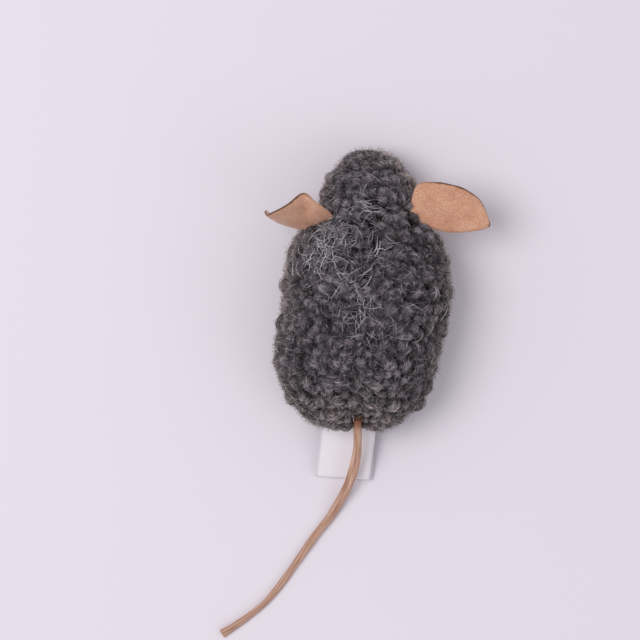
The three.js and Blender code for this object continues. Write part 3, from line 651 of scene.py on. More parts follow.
def shades_for(owner, painted_shade_and_tone, spread):
    """The place across the UV map for each thing of a lock, darker by painted_shade_and_tone as painted
    shade, lighter below 0.
    """
    jitter = rng.normal(0, spread, len(owner))
    grey = np.clip(0.33 - painted_shade_and_tone + 0.075 * lock_shade[owner] + jitter, 0.01, 0.585)
    brown = 0.8 + 0.1 * painted_edge_brownness[owner] + painted_paleness[owner] - 0.6 * painted_shade_and_tone
    brown = np.clip(brown + 0.04 * lock_shade[owner] + 0.7 * jitter, 0.62, 0.98)
    return np.where(rng.random(len(owner)) < 0.02 + 0.9 * painted_edge_brownness[owner], brown, grey)


print("mean brownness", round(float(painted_edge_brownness.mean()), 2))

# %% [markdown]
# One lobe is modelled and then copied for every lock. It has only 80 faces, because the fibres hide it.

# %% One lobe
LOBE_SHARE = 0.93  # of the lock's size, so that the fibres cover it
deselect()
bpy.ops.mesh.primitive_ico_sphere_add(subdivisions=2, radius=1)
lobe = bpy.context.object
bpy.ops.object.mode_set(mode="EDIT")
bpy.ops.mesh.select_all(action="SELECT")
bpy.ops.transform.resize(value=(1, 1, 0.94), center_override=(0, 0, 0))
bpy.ops.object.mode_set(mode="OBJECT")
lobe_points = np.array([v.co for v in lobe.data.vertices])
lobe_faces = np.array([p.vertices[:] for p in lobe.data.polygons])
bpy.data.objects.remove(lobe)
print("one lobe has", len(lobe_faces), "faces")

# %% [markdown]
# Thousands of fibres are too many to model one by one, so their points are worked out together and go into a
# mesh at once. Every piece of pile is made that way.


# %% A mesh from arrays
def piece_of_pile(name, points, loops, totals, uv, material):
    """A piece with this finish from points in millimetres, and the corners of its faces with their UVs."""
    mesh = bpy.data.meshes.new(name)
    mesh.vertices.add(len(points))
    mesh.vertices.foreach_set("co", (points * MM).astype(np.float32).ravel())
    mesh.loops.add(len(loops))
    mesh.loops.foreach_set("vertex_index", loops.astype(np.int32))
    mesh.polygons.add(len(totals))
    mesh.polygons.foreach_set("loop_start", np.r_[0, np.cumsum(totals)[:-1]].astype(np.int32))
    layer = mesh.uv_layers.new(name="OFBake")
    layer.data.foreach_set("uv", uv.astype(np.float32).ravel())
    mesh.update(calc_edges=True)
    mesh.polygons.foreach_set("use_smooth", np.ones(len(totals), bool))
    mesh.materials.append(material)
    piece = bpy.data.objects.new(name, mesh)
    bpy.context.scene.collection.objects.link(piece)
    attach(piece, "body")
    return piece


def lobes(name, chosen):
    """The lobes of some locks as one piece."""
    n = len(chosen)
    waves, phases = rng.uniform(2, 4, (n, 1)), rng.uniform(0, 6, (n, 1))
    bumpy = 1 + 0.16 * np.sin(waves * lobe_points[:, 0] + phases)
    local = lobe_points[None] * lock_size[chosen][:, None] * bumpy[..., None] * LOBE_SHARE
    points = (
        lock_middle[chosen][:, None]
        + local[..., 0:1] * lock_comb[chosen][:, None]
        + local[..., 1:2] * lock_side[chosen][:, None]
        + local[..., 2:3] * lock_out[chosen][:, None]
    )
    points = rest_on_floor(points)
    corners = lobe_faces[None] + (np.arange(n) * len(lobe_points))[:, None, None]
    # The lobes are painted darker than their fibres, and darker towards their base, as painted shade under
    # the fibres.
    shade = np.repeat(shades_for(chosen, 0.25, 0.03), lobe_faces.size)
    which = np.tile(lobe_faces.ravel(), n)
    uv = np.stack([shade + 0.003 * lobe_points[which, 0], 0.3 + 0.2 * lobe_points[which, 2]], -1)
    totals = np.full(n * len(lobe_faces), 3)
    return piece_of_pile(name, points.reshape(-1, 3), corners.ravel(), totals, uv, pile_material)


# %% [markdown]
# The fibres of a lock are arcs round its lobe. They start behind it, go over its top and down in front. Each
# is a tube of three sides, thinner at its ends. A few are stray: they stand off and cross the others.

# %% Paths of the fibres
POINTS = 6  # along each fibre
FIBRES_IN_LOCK = 42
FIBRES_BELOW = 9  # in a lock that the toy lies on
STRAY_SHARE = 0.26
BRIGHT_SHARE = 0.08
pressed = lock_top[:, 2] < 3
owner = np.repeat(np.arange(locks), np.where(pressed, FIBRES_BELOW, FIBRES_IN_LOCK))
count = len(owner)
stray = rng.random(count) < STRAY_SHARE
off_centre = rng.uniform(-0.97, 0.97, count)
stand_off = rng.uniform(0.97, 1.1, count) + stray * rng.uniform(0.03, 0.25, count)
turn = rng.normal(0, 0.36, count) + stray * rng.normal(0, 0.8, count)
begin = rng.uniform(-2.0, -1.3, count)
finish = rng.uniform(1.1, 2.1, count)
drift = rng.normal(0, 0.22, count)
comb = lock_comb[owner] * np.cos(turn)[:, None] + lock_side[owner] * np.sin(turn)[:, None]
side = np.cross(lock_out[owner], comb)
half = lock_size[owner]
along = np.linspace(0, 1, POINTS)
arc = begin[:, None] + (finish - begin)[:, None] * along
narrower = np.sqrt(1 - off_centre**2)[:, None]
lift = stand_off[:, None] + (0.14 * rng.random(count))[:, None] * along**3
phase = rng.uniform(0, 2 * np.pi, (3, locks))[:, owner, None]
strand = off_centre[:, None]
lift = lift + 0.1 * np.sin(4.5 * strand + phase[0]) + 0.08 * np.sin(2.2 * arc + 2 * strand + phase[1])
lift = lift + 0.04 * np.sin(9 * strand + 1.5 * arc + phase[2])
path = (
    lock_middle[owner][:, None]
    + (half[:, 0:1] * lift * narrower * np.sin(arc))[..., None] * comb[:, None]
    + (half[:, 2:3] * lift * narrower * np.cos(arc))[..., None] * lock_out[owner][:, None]
    + (half[:, 1:2] * (off_centre[:, None] * lift + drift[:, None] * arc))[..., None] * side[:, None]
)
waves, phases = rng.uniform(0.5, 1.1, (count, 1)), rng.uniform(0, 2 * np.pi, (count, 1))
wave = np.sin(2 * np.pi * waves * along + phases)
path += (rng.uniform(0, 0.16, (count, 1)) * wave)[..., None] * side[:, None]
path += rng.normal(0, 0.035, path.shape)
path = rest_on_floor(path)
fibre_width = np.clip(rng.normal(0.155, 0.03, count), 0.09, 0.24)
bright = rng.random(count) < BRIGHT_SHARE
fibre_shade = shades_for(owner, np.where(bright, -0.19, 0.0), 0.125)
print(count, "fibres")

# %% [markdown]
# A fibre is far too thin for its section to show, so three sides are enough. Each tube is closed at its ends.


# %% Tubes along paths
def tubes(name, paths, sideways, widths, shades, material, ends=(0.6, 0.4)):
    """One piece of three-sided tubes. widths is each tube's thickness, ends its share at root and tip."""
    n, k = paths.shape[:2]
    ahead = unit(np.gradient(paths, axis=1))
    across = unit(np.cross(np.cross(ahead, sideways[:, None]), ahead))
    upright = np.cross(ahead, across)
    taper = np.interp(np.linspace(0, 1, k), [0, 0.3, 0.7, 1], [ends[0], 1, 0.95, ends[1]])
    half = 0.5 * widths[:, None, None, None] * taper[None, :, None, None]
    corner = np.array([0, 1, 2]) * 2 * np.pi / 3
    ring = across[:, :, None] * np.cos(corner)[:, None] + upright[:, :, None] * np.sin(corner)[:, None]
    points = (paths[:, :, None] + half * ring).reshape(-1, 3)
    base = (np.arange(n) * k * 3)[:, None, None, None]
    level = (np.arange(k - 1) * 3)[None, :, None, None]
    side = np.array([[0, 1, 4, 3], [1, 2, 5, 4], [2, 0, 3, 5]])[None, None]
    quads = (base + level + side).reshape(n, -1)
    caps = base[:, 0, 0] + np.array([[2, 1, 0, 3 * k - 3, 3 * k - 2, 3 * k - 1]])
    loops = np.concatenate([quads, caps], 1).ravel()
    totals = np.tile(np.r_[np.full(3 * (k - 1), 4), 3, 3], n)
    u = shades[loops // (3 * k)] + (loops % 3) * 0.002
    v = 0.01 + 0.98 * ((loops // 3) % k) / (k - 1)
    return piece_of_pile(name, points, loops, totals, np.stack([u, v], -1), material)


# %% [markdown]
# The pile belongs to the three panels of cloth, left and right of the seam along the back and underneath.
# Each panel's fibres are split from front to back, so that no piece grows too large.

# %% Build the pile in pieces
MOST_FIBRES = 6200


def tube_pieces(name, members, paths, sideways, widths, shades):
    """Pieces of at most MOST_FIBRES of the tubes each, numbered from 1."""
    groups = np.array_split(members, math.ceil(len(members) / MOST_FIBRES))
    return [
        tubes(f"{name}_{number}", paths[some], sideways[some], widths[some], shades[some], pile_material)
        for number, some in enumerate(groups, 1)
    ]


lock_below = lock_top[:, 2] < SEAM_HEIGHT
lock_left = lock_top[:, 0] < spine(lock_t)
panels = {"left": lock_left & ~lock_below, "right": ~lock_left & ~lock_below, "belly": lock_below}
pile_pieces = []
for panel, chosen in panels.items():
    pile_pieces.append(lobes(f"locks_{panel}", np.flatnonzero(chosen)))
    members = np.flatnonzero(chosen[owner])
    members = members[np.argsort(-lock_top[owner[members], 1], kind="stable")]
    pile_pieces += tube_pieces(f"pile_{panel}", members, path, side, fibre_width, fibre_shade)
triangles = sum(len(p.data.loops) - 2 * len(p.data.polygons) for p in pile_pieces)
print("pile pieces", len(pile_pieces), "triangles", triangles)

# %% [markdown]
# Between the locks single fibres cross from one to the next, which blurs the locks into one fleece. Each is
# walked step by step over the skin, and turns a little at every step, so that it becomes a short curl.


# %% Fibres that cross between the locks
def walk_over_skin(start, direction, bends, steps, stride, height):
    """Paths over the skin from start points, each turning by its own bend at every step."""
    p, d = start.copy(), direction.copy()
    out = outward(p)
    path = []
    for i in range(steps):
        path.append(p + out * (height * (0.55 + 0.45 * np.sin(np.pi * i / (steps - 1))))[:, None])
        p = p + d * stride[:, None]
        out = outward(p)
        slope = (depth_of(p + NUDGE * out) - depth_of(p - NUDGE * out)) / (2 * NUDGE)
        p = p - out * ((depth_of(p) - 1) / slope)[:, None]
        d = unit(d - out * (d * out).sum(1, keepdims=True))
        turn = bends + rng.normal(0, 0.07, len(p))
        d = d * np.cos(turn)[:, None] + np.cross(out, d) * np.sin(turn)[:, None]
    return np.stack(path, 1)


def any_way(normals):
    """A random direction along the surface for each normal."""
    first, second = tangents_of(normals)
    way = rng.uniform(0, 2 * np.pi, len(normals))
    return first * np.cos(way)[:, None] + second * np.sin(way)[:, None]


def above_and_below(starts):
    """Which things that stand on the skin belong to the back's panels, and which to the belly's."""
    low = starts[:, 2] < SEAM_HEIGHT
    return {"back": ~low, "belly": low}.items()


CROSSING = 13500  # fibres, before those in bare places are left out
t, a, _ = spread_over_skin(CROSSING)
starts = skin(t, a)
bare = in_parting(starts, t, wider=0.6, longer=0.01) | (starts[:, 2] < 1)
bare |= near_tail(starts, 2, 3) | near_sewn(starts, 0) | (t <= 0.004) | (t >= 0.996)
starts = starts[~bare]
out = outward(starts)
way = any_way(out)
crossing_height = rng.uniform(-0.8, 0.25, len(starts))
crossing = walk_over_skin(
    starts,
    way,
    bends=rng.choice([-1, 1], len(starts)) * rng.uniform(0.25, 0.85, len(starts)),
    steps=6,
    stride=rng.uniform(0.3, 0.6, len(starts)),
    height=crossing_height + lump_height(starts),
)
crossing = rest_on_floor(crossing + seam_pull(crossing))
nearest = np.argmin(((starts[:, None, :] - lock_top[None, ::3]) ** 2).sum(-1), 1) * 3
# Crossing fibres that lie deep in the pile are painted darker, as painted shade between the locks.
crossing_shade = shades_for(nearest, 0.16 * smooth(-0.1, -0.8, crossing_height) - 0.04, 0.14)
crossing_width = np.clip(rng.normal(0.14, 0.025, len(starts)), 0.08, 0.2)
for panel, chosen in above_and_below(starts):
    members = np.flatnonzero(chosen)
    tube_pieces(f"fuzz_{panel}", members, crossing, np.cross(out, way), crossing_width, crossing_shade)
print(len(starts), "crossing fibres")

# %% [markdown]
# The ends of some fibres stand off the pile as a fine down, 1 to 2 mm long. It is densest low on the sides,
# and so thin that it shows mostly round the edge of the toy, where it lies one behind the other.

# %% Down that stands off the pile
DOWN = 30000  # hairs, before most of those on top are left out
t, a, _ = spread_over_skin(DOWN)
t = np.clip(t, 0.002, 0.998)
starts = skin(t, a)
level, _, _, rise, _ = sections(t)
at_side = smooth(0.75, 0.3, (starts[:, 2] - level) / rise)
kept = (starts[:, 2] > 2.5) & (rng.random(len(starts)) < 0.3 + 0.7 * at_side) & ~near_sewn(starts, 2)
starts, at_side = starts[kept], at_side[kept]
out = outward(starts)
way = any_way(out)
lean = np.radians(rng.uniform(15, 75, len(starts)))[:, None]
curl = rng.normal(0, 0.5, len(starts))[:, None]
length = (rng.uniform(0.8, 1.9, len(starts)) + 0.4 * at_side)[:, None]
down = [starts - out * 0.5 + out * (lump_height(starts))[:, None] + seam_pull(starts)]
for _ in range(2):
    down.append(down[-1] + (out * np.cos(lean) + way * np.sin(lean)) * length / 2)
    lean = lean + curl
down = np.stack(down, 1)
down[..., 2] = np.maximum(down[..., 2], 0.15)
# Low on the sides most of the down is painted pale brown, as painted light shining through it at the edge.
painted_edge_lit = rng.random(len(starts)) < at_side
brown, grey = rng.uniform(0.88, 0.99, len(starts)), rng.uniform(0.3, 0.58, len(starts))
down_shade = np.where(painted_edge_lit, brown, grey)
down_width = rng.uniform(0.06, 0.085, len(starts)) + 0.03 * at_side
sideways = np.cross(out, way)
for panel, some in above_and_below(starts):
    tubes(f"down_{panel}", down[some], sideways[some], down_width[some], down_shade[some], pile_material)
print(len(starts), "hairs of down")

# %% [markdown]
# ## Loose hairs
#
# Long pale hairs lie tangled over the left shoulder, and single ones elsewhere on the back. They are thinner
# than a pixel of the picture, gently bent, and lie on the pile.


# %% Loose hairs
def hair_starts(places, spreads, numbers):
    """Start points on the back, by each tangle's middle, its spread and its number of hairs."""
    xy = np.concatenate([rng.normal(0, s, (n, 2)) + p for p, s, n in zip(places, spreads, numbers)])
    t = np.clip((NOSE_REACH - xy[:, 1]) / BODY_LENGTH, 0.03, 0.97)
    middle, left, right_side, up, _ = sections(t)
    wide = np.where(xy[:, 0] > 0, right_side, left)
    across = np.clip(np.abs(xy[:, 0]) / wide, 0, 0.95)
    z = middle + up * (1 - across**BACK_ROUNDNESS) ** (1 / BACK_ROUNDNESS)
    return np.stack([np.sign(xy[:, 0]) * across * wide, NOSE_REACH - BODY_LENGTH * t, z], -1)


hair_material, shader = new_material("undyed polyester hair")
hair_uv = add_node(hair_material, "UVMap", uv_map="OFBake")["UV"]
hair_shade = {"Fac": add_node(hair_material, "SeparateXYZ", {"Vector": hair_uv})["X"]}
stops = [(0.0, "#77737a"), (0.7, "#c4c1c8"), (1.0, "#fbfafd")]
hair_colour = add_node(hair_material, "ValToRGB", hair_shade, stops=stops)["Color"]
connect(hair_material, shader, {"Base Color": hair_colour, "Roughness": 0.45})
starts = hair_starts(
    places=[(-9.5, 15.5), (-15.5, 11), (-2, 22), (-2.5, 8), (-1, -3), (-7, 1), (0, 0)],
    spreads=[3.3, 3.2, 3.6, 4.2, 3.0, 3.0, 13.0],
    numbers=[190, 55, 85, 50, 40, 16, 80],
)
out = outward(starts)
hair_way = any_way(out)
hair_paths = walk_over_skin(
    starts,
    hair_way,
    bends=rng.normal(0, 0.1, len(starts)),
    steps=9,
    stride=rng.uniform(0.25, 0.7, len(starts)),
    height=rng.uniform(0.1, 0.7, len(starts)) + 0.5 * lump_height(starts),
)
white = rng.random(len(starts)) < 0.38
tubes(
    "loose_hairs",
    hair_paths,
    np.cross(out, hair_way),
    np.where(white, rng.uniform(0.09, 0.14, len(starts)), rng.uniform(0.06, 0.1, len(starts))),
    np.where(white, rng.uniform(0.6, 0.99, len(starts)), rng.uniform(0.02, 0.6, len(starts))),
    hair_material,
    ends=(0.8, 0.5),
)
print(len(starts), "loose hairs")

# %% [markdown]
# ## Ears
#
# Each ear is one leaf of tan felt, about 1 mm thick, folded lengthways with its fold behind and its two rims
# in front, and gathered at its root. A grid is the sheet of felt: one way is along the ear from root to tip,
# the other goes from the lower rim round the fold to the upper rim. The right ear lies flat. The left one is
# rolled up about its fold, most at the root and at the tip. Solidify gives the felt its thickness, which a
# vertex group thins towards the cut rims.

# %% The felt's shape
EAR_LENGTH = 21
EAR_THICKNESS = 0.9
EAR_FOLD_RADIUS = 1.1  # at the root
EAR_TIP_FOLD_RADIUS = 0.65
TIP_ROUNDING = 0.25
OPENING_SHARES = [0, 0.3, 0.7, 0.9, 1, 0.9, 0.6, 0.2]  # from root to tip, of how far the layers part
ROLL_SHARES = [0.9, 0.8, 0.75, 0.66, 0.82, 0.95, 1.0, 0.65]  # of how far the ear is rolled up


def along_table(table, a):
    """Catmull-Rom through evenly spaced table rows at shares a."""
    rows = np.array(table, float).reshape(len(table), -1)
    rows = np.vstack([2 * rows[0] - rows[1], rows, 2 * rows[-1] - rows[-2]])
    place = np.clip(a, 0, 1) * (len(table) - 1)
    i = np.minimum(place.astype(int), len(table) - 2)
    u = (place - i)[:, None]
    p, q, r, s = rows[i], rows[i + 1], rows[i + 2], rows[i + 3]
    v0, v1 = (r - p) / 2, (s - q) / 2
    return (2 * q - 2 * r + v0 + v1) * u**3 + (-3 * q + 3 * r - 2 * v0 - v1) * u**2 + v0 * u + q


def felt_points(a, s, fold, rim, opening, roll, over, under, squeeze):
    """The middle of the felt, in millimetres from the ear's root: x outwards, y forwards."""
    fold = along_table(fold, a) * EAR_LENGTH
    rim = along_table(rim, a) * EAR_LENGTH
    opening = along_table(OPENING_SHARES, a)[:, 0] * opening
    roll = np.radians(along_table(ROLL_SHARES, a)[:, 0] * roll)
    radius = EAR_FOLD_RADIUS + (EAR_TIP_FOLD_RADIUS - EAR_FOLD_RADIUS) * a
    depth = np.linalg.norm(rim - fold, axis=1)
    inward = (rim - fold) / depth[:, None]
    tilt = np.arcsin(np.clip(opening / depth, -0.5, 0.5))
    bend = np.pi / 2 - tilt
    arc = radius * bend
    run = np.abs(s) * (depth + arc - radius) * np.where(s < 0, along_table(under, a)[:, 0], over)
    turned = np.minimum(run / radius, bend)
    straight = np.maximum(run - arc, 0)
    in_plane = radius * (1 - np.cos(turned)) + straight * np.sin(bend)
    high = np.sign(s) * (radius * np.sin(turned) + straight * np.cos(bend))
    high = np.where(s < 0, high * squeeze, high)
    x, y = fold[:, 0] + inward[:, 0] * in_plane, inward[:, 1] * in_plane
    x += TIP_ROUNDING * smooth(0.88, 1, a) * (1 - (2 * np.abs(s) - 1) ** 2)
    return np.stack(
        [x, fold[:, 1] + y * np.cos(roll) - high * np.sin(roll), y * np.sin(roll) + high * np.cos(roll)], -1
    )


# %% [markdown]
# Needle-punched polyester felt, pressed to look like suede: a dry, fine mottle of tan and pinkish fibres,
# with hardly any gloss. Where the rim was cut hot, beyond its corner, the fibres have melted to a thin dark
# brown line. It follows the sheet's own UV map, in which the rims are at 0 and 1. The mottle is 0.4 mm
# coarse.

# %% Finish of the felt
BLACK, WHITE = "#000000", "#ffffff"
felt_material, shader = new_material("tan needle felt")
place = add_node(felt_material, "TexCoord")["Object"]
grain = {"Vector": place, "Scale": 1 / (0.4 * MM), "Detail": 4.0}
fine = add_node(felt_material, "TexNoise", grain)["Fac"]
blotches = {"Vector": place, "Scale": 1 / (4 * MM), "Detail": 2.0}
broad = add_node(felt_material, "TexNoise", blotches)["Fac"]
stops = [(0.3, "#c48f75"), (0.5, "#d4a387"), (0.72, "#e3b9a0")]
fine_colour = add_node(felt_material, "ValToRGB", {"Fac": fine}, stops=stops)["Color"]
stops = [(0.3, "#e9dcd8"), (0.7, "#ffffff")]
broad_colour = add_node(felt_material, "ValToRGB", {"Fac": broad}, stops=stops)["Color"]
both = {"Factor": 1.0, 6: fine_colour, 7: broad_colour}
felt_colour = add_node(felt_material, "Mix", both, data_type="RGBA", blend_type="MULTIPLY")[2]

sheet = add_node(felt_material, "UVMap", uv_map="sheet")["UV"]
sheet = add_node(felt_material, "SeparateXYZ", {"Vector": sheet})
from_fold = add_node(felt_material, "Math", {0: sheet["Y"], 1: 0.5}, operation="SUBTRACT")[0]
from_fold = add_node(felt_material, "Math", {0: from_fold}, operation="ABSOLUTE")[0]
ragged = add_node(felt_material, "TexNoise", {"Vector": place, "Scale": 1 / (1.5 * MM)})["Fac"]
ragged = add_node(felt_material, "Math", {0: ragged, 1: 0.022}, operation="MULTIPLY")[0]
near_rim = add_node(felt_material, "Math", {0: from_fold, 1: ragged}, operation="ADD")[0]
stops = [(0.49, BLACK), (0.503, WHITE)]
scorch = add_node(felt_material, "ValToRGB", {"Fac": near_rim}, stops=stops)["Color"]
stops = [(0.975, BLACK), (0.995, WHITE)]
at_tip = add_node(felt_material, "ValToRGB", {"Fac": sheet["X"]}, stops=stops)["Color"]
scorch = add_node(felt_material, "Math", {0: scorch, 1: at_tip}, operation="MAXIMUM")[0]
stops = [(0.25, BLACK), (0.5, WHITE)]
was_cut = add_node(felt_material, "ValToRGB", {"Fac": sheet["X"]}, stops=stops)["Color"]
scorch = add_node(felt_material, "Math", {0: scorch, 1: was_cut}, operation="MULTIPLY")[0]
both = {"Factor": scorch, 6: felt_colour, 7: colour("#5a3a2b")}
burnt = add_node(felt_material, "Mix", both, data_type="RGBA")[2]
relief = {"Height": fine, "Strength": 0.5, "Distance": 0.12 * MM}
bump = add_node(felt_material, "Bump", relief)["Normal"]
gloss = {"Roughness": 0.92, "Specular IOR Level": 0.2, "Sheen Weight": 0.25}
connect(felt_material, shader, {"Base Color": burnt, "Normal": bump, **gloss})

rim_material, shader = new_material("heat-cut felt rim")
place = add_node(rim_material, "TexCoord")["Object"]
fine = add_node(rim_material, "TexNoise", {"Vector": place, "Scale": 1 / (0.5 * MM), "Detail": 3.0})["Fac"]
stops = [(0.3, "#4a2e22"), (0.7, "#7d5a47")]
rim_colour = add_node(rim_material, "ValToRGB", {"Fac": fine}, stops=stops)["Color"]
sheet = add_node(rim_material, "UVMap", uv_map="sheet")["UV"]
sheet = add_node(rim_material, "SeparateXYZ", {"Vector": sheet})
stops = [(0.2, BLACK), (0.5, WHITE)]
was_cut = add_node(rim_material, "ValToRGB", {"Fac": sheet["X"]}, stops=stops)["Color"]
both = {"Factor": was_cut, 6: colour("#c99c83"), 7: rim_colour}
rim_colour = add_node(rim_material, "Mix", both, data_type="RGBA")[2]
connect(rim_material, shader, {"Base Color": rim_colour, "Roughness": 0.7})
print("finishes:", felt_material.name, "and", rim_material.name)

# %% [markdown]
# Both ears are cut alike, but they aren't folded alike. Each has its own way of the fold and of the upper
# rim, seen from above in shares of its length, and the left one is rolled up and droops more. Each rim is
# thinned and then rounded, as felt is where it was cut.


# %% Sew the ears
def new_ear(name, side, root, fold, rim, opening, roll, droop, over, under, squeeze):
    """A folded ear, on the right (side 1) or the left (-1).

    fold and rim are (outwards, forwards) from root to tip. over is the share of its depth to which the upper
    layer reaches, and under the lower layer's from root to tip. squeeze is the share of its height under the
    fold that the lower layer keeps.
    """
    deselect()
    bpy.ops.mesh.primitive_grid_add(x_subdivisions=44, y_subdivisions=48, size=2)
    ear = bpy.context.object
    ear.name = ear.data.name = name
    flat = np.array([v.co for v in ear.data.vertices])
    a = (flat[:, 0] + 1) / 2
    s = np.sign(flat[:, 1]) * np.abs(flat[:, 1]) ** 1.35
    sheet = ear.data.uv_layers.active
    sheet.name = "sheet"
    corner = np.array([loop.vertex_index for loop in ear.data.loops])
    uv = np.stack([a[corner], (s[corner] + 1) / 2], -1)
    sheet.data.foreach_set("uv", uv.astype(np.float32).ravel())
    p = felt_points(a, s, fold, rim, opening, roll, over, under, squeeze)
    soft = np.sin(0.55 * p[:, 0] + 1.3 * side) * np.sin(0.8 * p[:, 1] + 0.6)
    soft = soft + 0.5 * np.sin(1.3 * p[:, 0] + p[:, 1])
    p[:, 2] += 0.16 * soft * smooth(0.1, 0.5, a)
    fall = np.radians(droop)
    x = p[:, 0] * np.cos(fall) + p[:, 2] * np.sin(fall)
    z = p[:, 2] * np.cos(fall) - p[:, 0] * np.sin(fall)
    p = np.stack([side * x, p[:, 1], z], -1) + root
    ear.data.vertices.foreach_set("co", (p * MM).ravel())
    ear.data.update()
    if side < 0:
        bpy.ops.object.mode_set(mode="EDIT")
        bpy.ops.mesh.select_all(action="SELECT")
        bpy.ops.mesh.flip_normals()
        bpy.ops.object.mode_set(mode="OBJECT")
    ear.data.materials.append(felt_material)
    ear.data.materials.append(rim_material)
    full = ear.vertex_groups.new(name="full thickness")
    from_rim = np.minimum((1 - np.abs(s)) * 11, (1 - a) * EAR_LENGTH)
    for index, weight in enumerate(smooth(0, 1.4, from_rim)):
        full.add([index], 0.25 + 0.75 * float(weight), "REPLACE")
    thick = ear.modifiers.new("thickness of the felt", "SOLIDIFY")
    thick.vertex_group = full.name
    thick.thickness = EAR_THICKNESS * MM
    thick.offset = 0
    thick.material_offset_rim = 1
    bpy.ops.object.modifier_apply(modifier=thick.name)
    rounded = ear.modifiers.new("rounded rim", "BEVEL")
    rounded.width = 0.09 * MM
    rounded.segments = 2
    rounded.limit_method = "ANGLE"
    rounded.angle_limit = math.radians(60)
    bpy.ops.object.modifier_apply(modifier=rounded.name)
    bpy.ops.object.shade_smooth()
    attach(ear, name.replace("felt", "ear"))
    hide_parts(name.replace("felt", "ear"))


EARS = {
    "felt_right": {
        "side": 1,
        "root": EAR_ROOTS[0],
        "fold": [(0, 0), (0.07, -0.03), (0.2, -0.06), (0.35, -0.1)]
        + [(0.5, -0.12), (0.66, -0.11), (0.84, -0.08), (0.985, -0.045)],
        "rim": [(0.01, 0.1), (0.01, 0.27), (0.08, 0.455), (0.28, 0.49)]
        + [(0.46, 0.475), (0.67, 0.42), (0.875, 0.275), (1, 0.02)],
        "opening": 2,
        "roll": 0,
        "droop": -2,
        "over": 1,
        "under": [1, 1],
        "squeeze": 1,
    },
    "felt_left": {
        "side": -1,
        "root": EAR_ROOTS[1],
        "fold": [(0, 0), (0.07, -0.05), (0.2, -0.11), (0.35, -0.15)]
        + [(0.5, -0.15), (0.66, -0.115), (0.84, -0.06), (0.985, 0.015)],
        "rim": [(0.03, 0.1), (0.07, 0.24), (0.16, 0.41), (0.3, 0.48)]
        + [(0.46, 0.475), (0.67, 0.42), (0.86, 0.27), (1, 0.035)],
        "opening": -0.25,
        "roll": 80,
        "droop": 20,
        "over": 1.1,
        "under": [0.1, 0.15, 0.45, 0.74, 0.74, 0.45, 0.12, 0.02],
        "squeeze": 0.25,
    },
}
for name, folding in EARS.items():
    new_ear(name, **folding)

# %% [markdown]
# ## Tail
#
# The tail is a suede lace 2.4 mm wide, knotted inside the rump. It bends down to the floor and lies to the
# left, shown from end to end, so its 75 mm from the knot on are its real length. The lace is a flat strip
# rolled in on itself, which leaves a groove along it, and it twists a little, so that it looks narrower in
# places. The way it lies is a smooth curve through points from the knot to its end, whose heights are
# guessed.

# %% The tail's way
TAIL_ROUTE = [
    (0.1, -2.3, 11.8), (0.3, -5.1, 10.5), (0.4, -8.1, 8.9), (0.1, -11.4, 7.1), (-0.5, -14.8, 5.4),
    (-1.4, -17.9, 3.9), (-2.7, -21, 2.6), (-4.3, -24.2, 1.6), (-6.2, -27.5, 1), (-9.4, -32, 0.85),
    (-12.3, -36.5, 0.85), (-15.4, -41.4, 0.85), (-18.6, -46.3, 0.85), (-22.2, -50.9, 0.85),
    (-26.5, -54.8, 0.85), (-30.8, -58.1, 0.85), (-33.3, -59.8, 0.85),
]
TAIL_WIDTHS = [2.2, 2.15, 2.4, 2.6, 2.6, 2.35, 2.15, 2.05, 1.9, 1.85, 1.85, 1.85, 1.85, 2.4]
TAIL_TWISTS = [10, 5, -5, 0, 10, 5, -10, -5, 15, 25, 40, 50, 30, 15]  # degrees
TAIL_RINGS = 170
TAIL_SIDES = 28
LACE_LOWEST = 0.06
tail_start = KNOT + [0, -0.1, 1.4]  # it comes over the knot
tail_way = np.vstack([tail_start, np.array(TAIL_ROUTE) + [KNOT[0], KNOT[1], 0]])


def even_path(points, number):
    """Points at even distances along a smooth curve through the given ones, and its length."""
    fine = along_table(points, np.linspace(0, 1, 600))
    run = np.r_[0, np.cumsum(np.linalg.norm(np.diff(fine, axis=0), axis=1))]
    even = np.linspace(0, run[-1], number)
    return np.stack([np.interp(even, run, fine[:, i]) for i in range(3)], -1), run[-1]


tail_path, tail_length = even_path(tail_way, TAIL_RINGS)
print("tail", round(tail_length, 1), "mm long")

# %% [markdown]
# Split-leather lace, brushed to suede and dyed tan: matt, streaked along its length in tan and reddish brown,
# and darker over its first few millimetres from the knot. The streaks follow the lace's own UV map.

# %% Finish of the lace
suede_material, shader = new_material("tan split-leather lace")
lace_uv = add_node(suede_material, "UVMap", uv_map="lace")["UV"]
stretched = add_node(suede_material, "Mapping", {"Vector": lace_uv, "Scale": (14, 9, 1)})[0]
streaks = add_node(suede_material, "TexNoise", {"Vector": stretched, "Scale": 1.0, "Detail": 5.0})["Fac"]
stops = [(0.3, "#8f6856"), (0.5, "#b9917d"), (0.7, "#d8b8a6")]
streak_colour = add_node(suede_material, "ValToRGB", {"Fac": streaks}, stops=stops)["Color"]
along_lace = add_node(suede_material, "SeparateXYZ", {"Vector": lace_uv})["Y"]
stops = [(0.0, "#b48a76"), (0.035, "#dcc8be"), (0.06, "#ffffff")]
at_knot = add_node(suede_material, "ValToRGB", {"Fac": along_lace}, stops=stops)["Color"]
both = {"Factor": 1.0, 6: streak_colour, 7: at_knot}
lace_colour = add_node(suede_material, "Mix", both, data_type="RGBA", blend_type="MULTIPLY")[2]
place = add_node(suede_material, "TexCoord")["Object"]
nap = add_node(suede_material, "TexNoise", {"Vector": place, "Scale": 1 / (0.25 * MM), "Detail": 3.0})["Fac"]
bump = add_node(suede_material, "Bump", {"Height": nap, "Strength": 0.5, "Distance": 0.1 * MM})["Normal"]
gloss = {"Roughness": 0.85, "Specular IOR Level": 0.25}
connect(suede_material, shader, {"Base Color": lace_colour, "Normal": bump, **gloss})
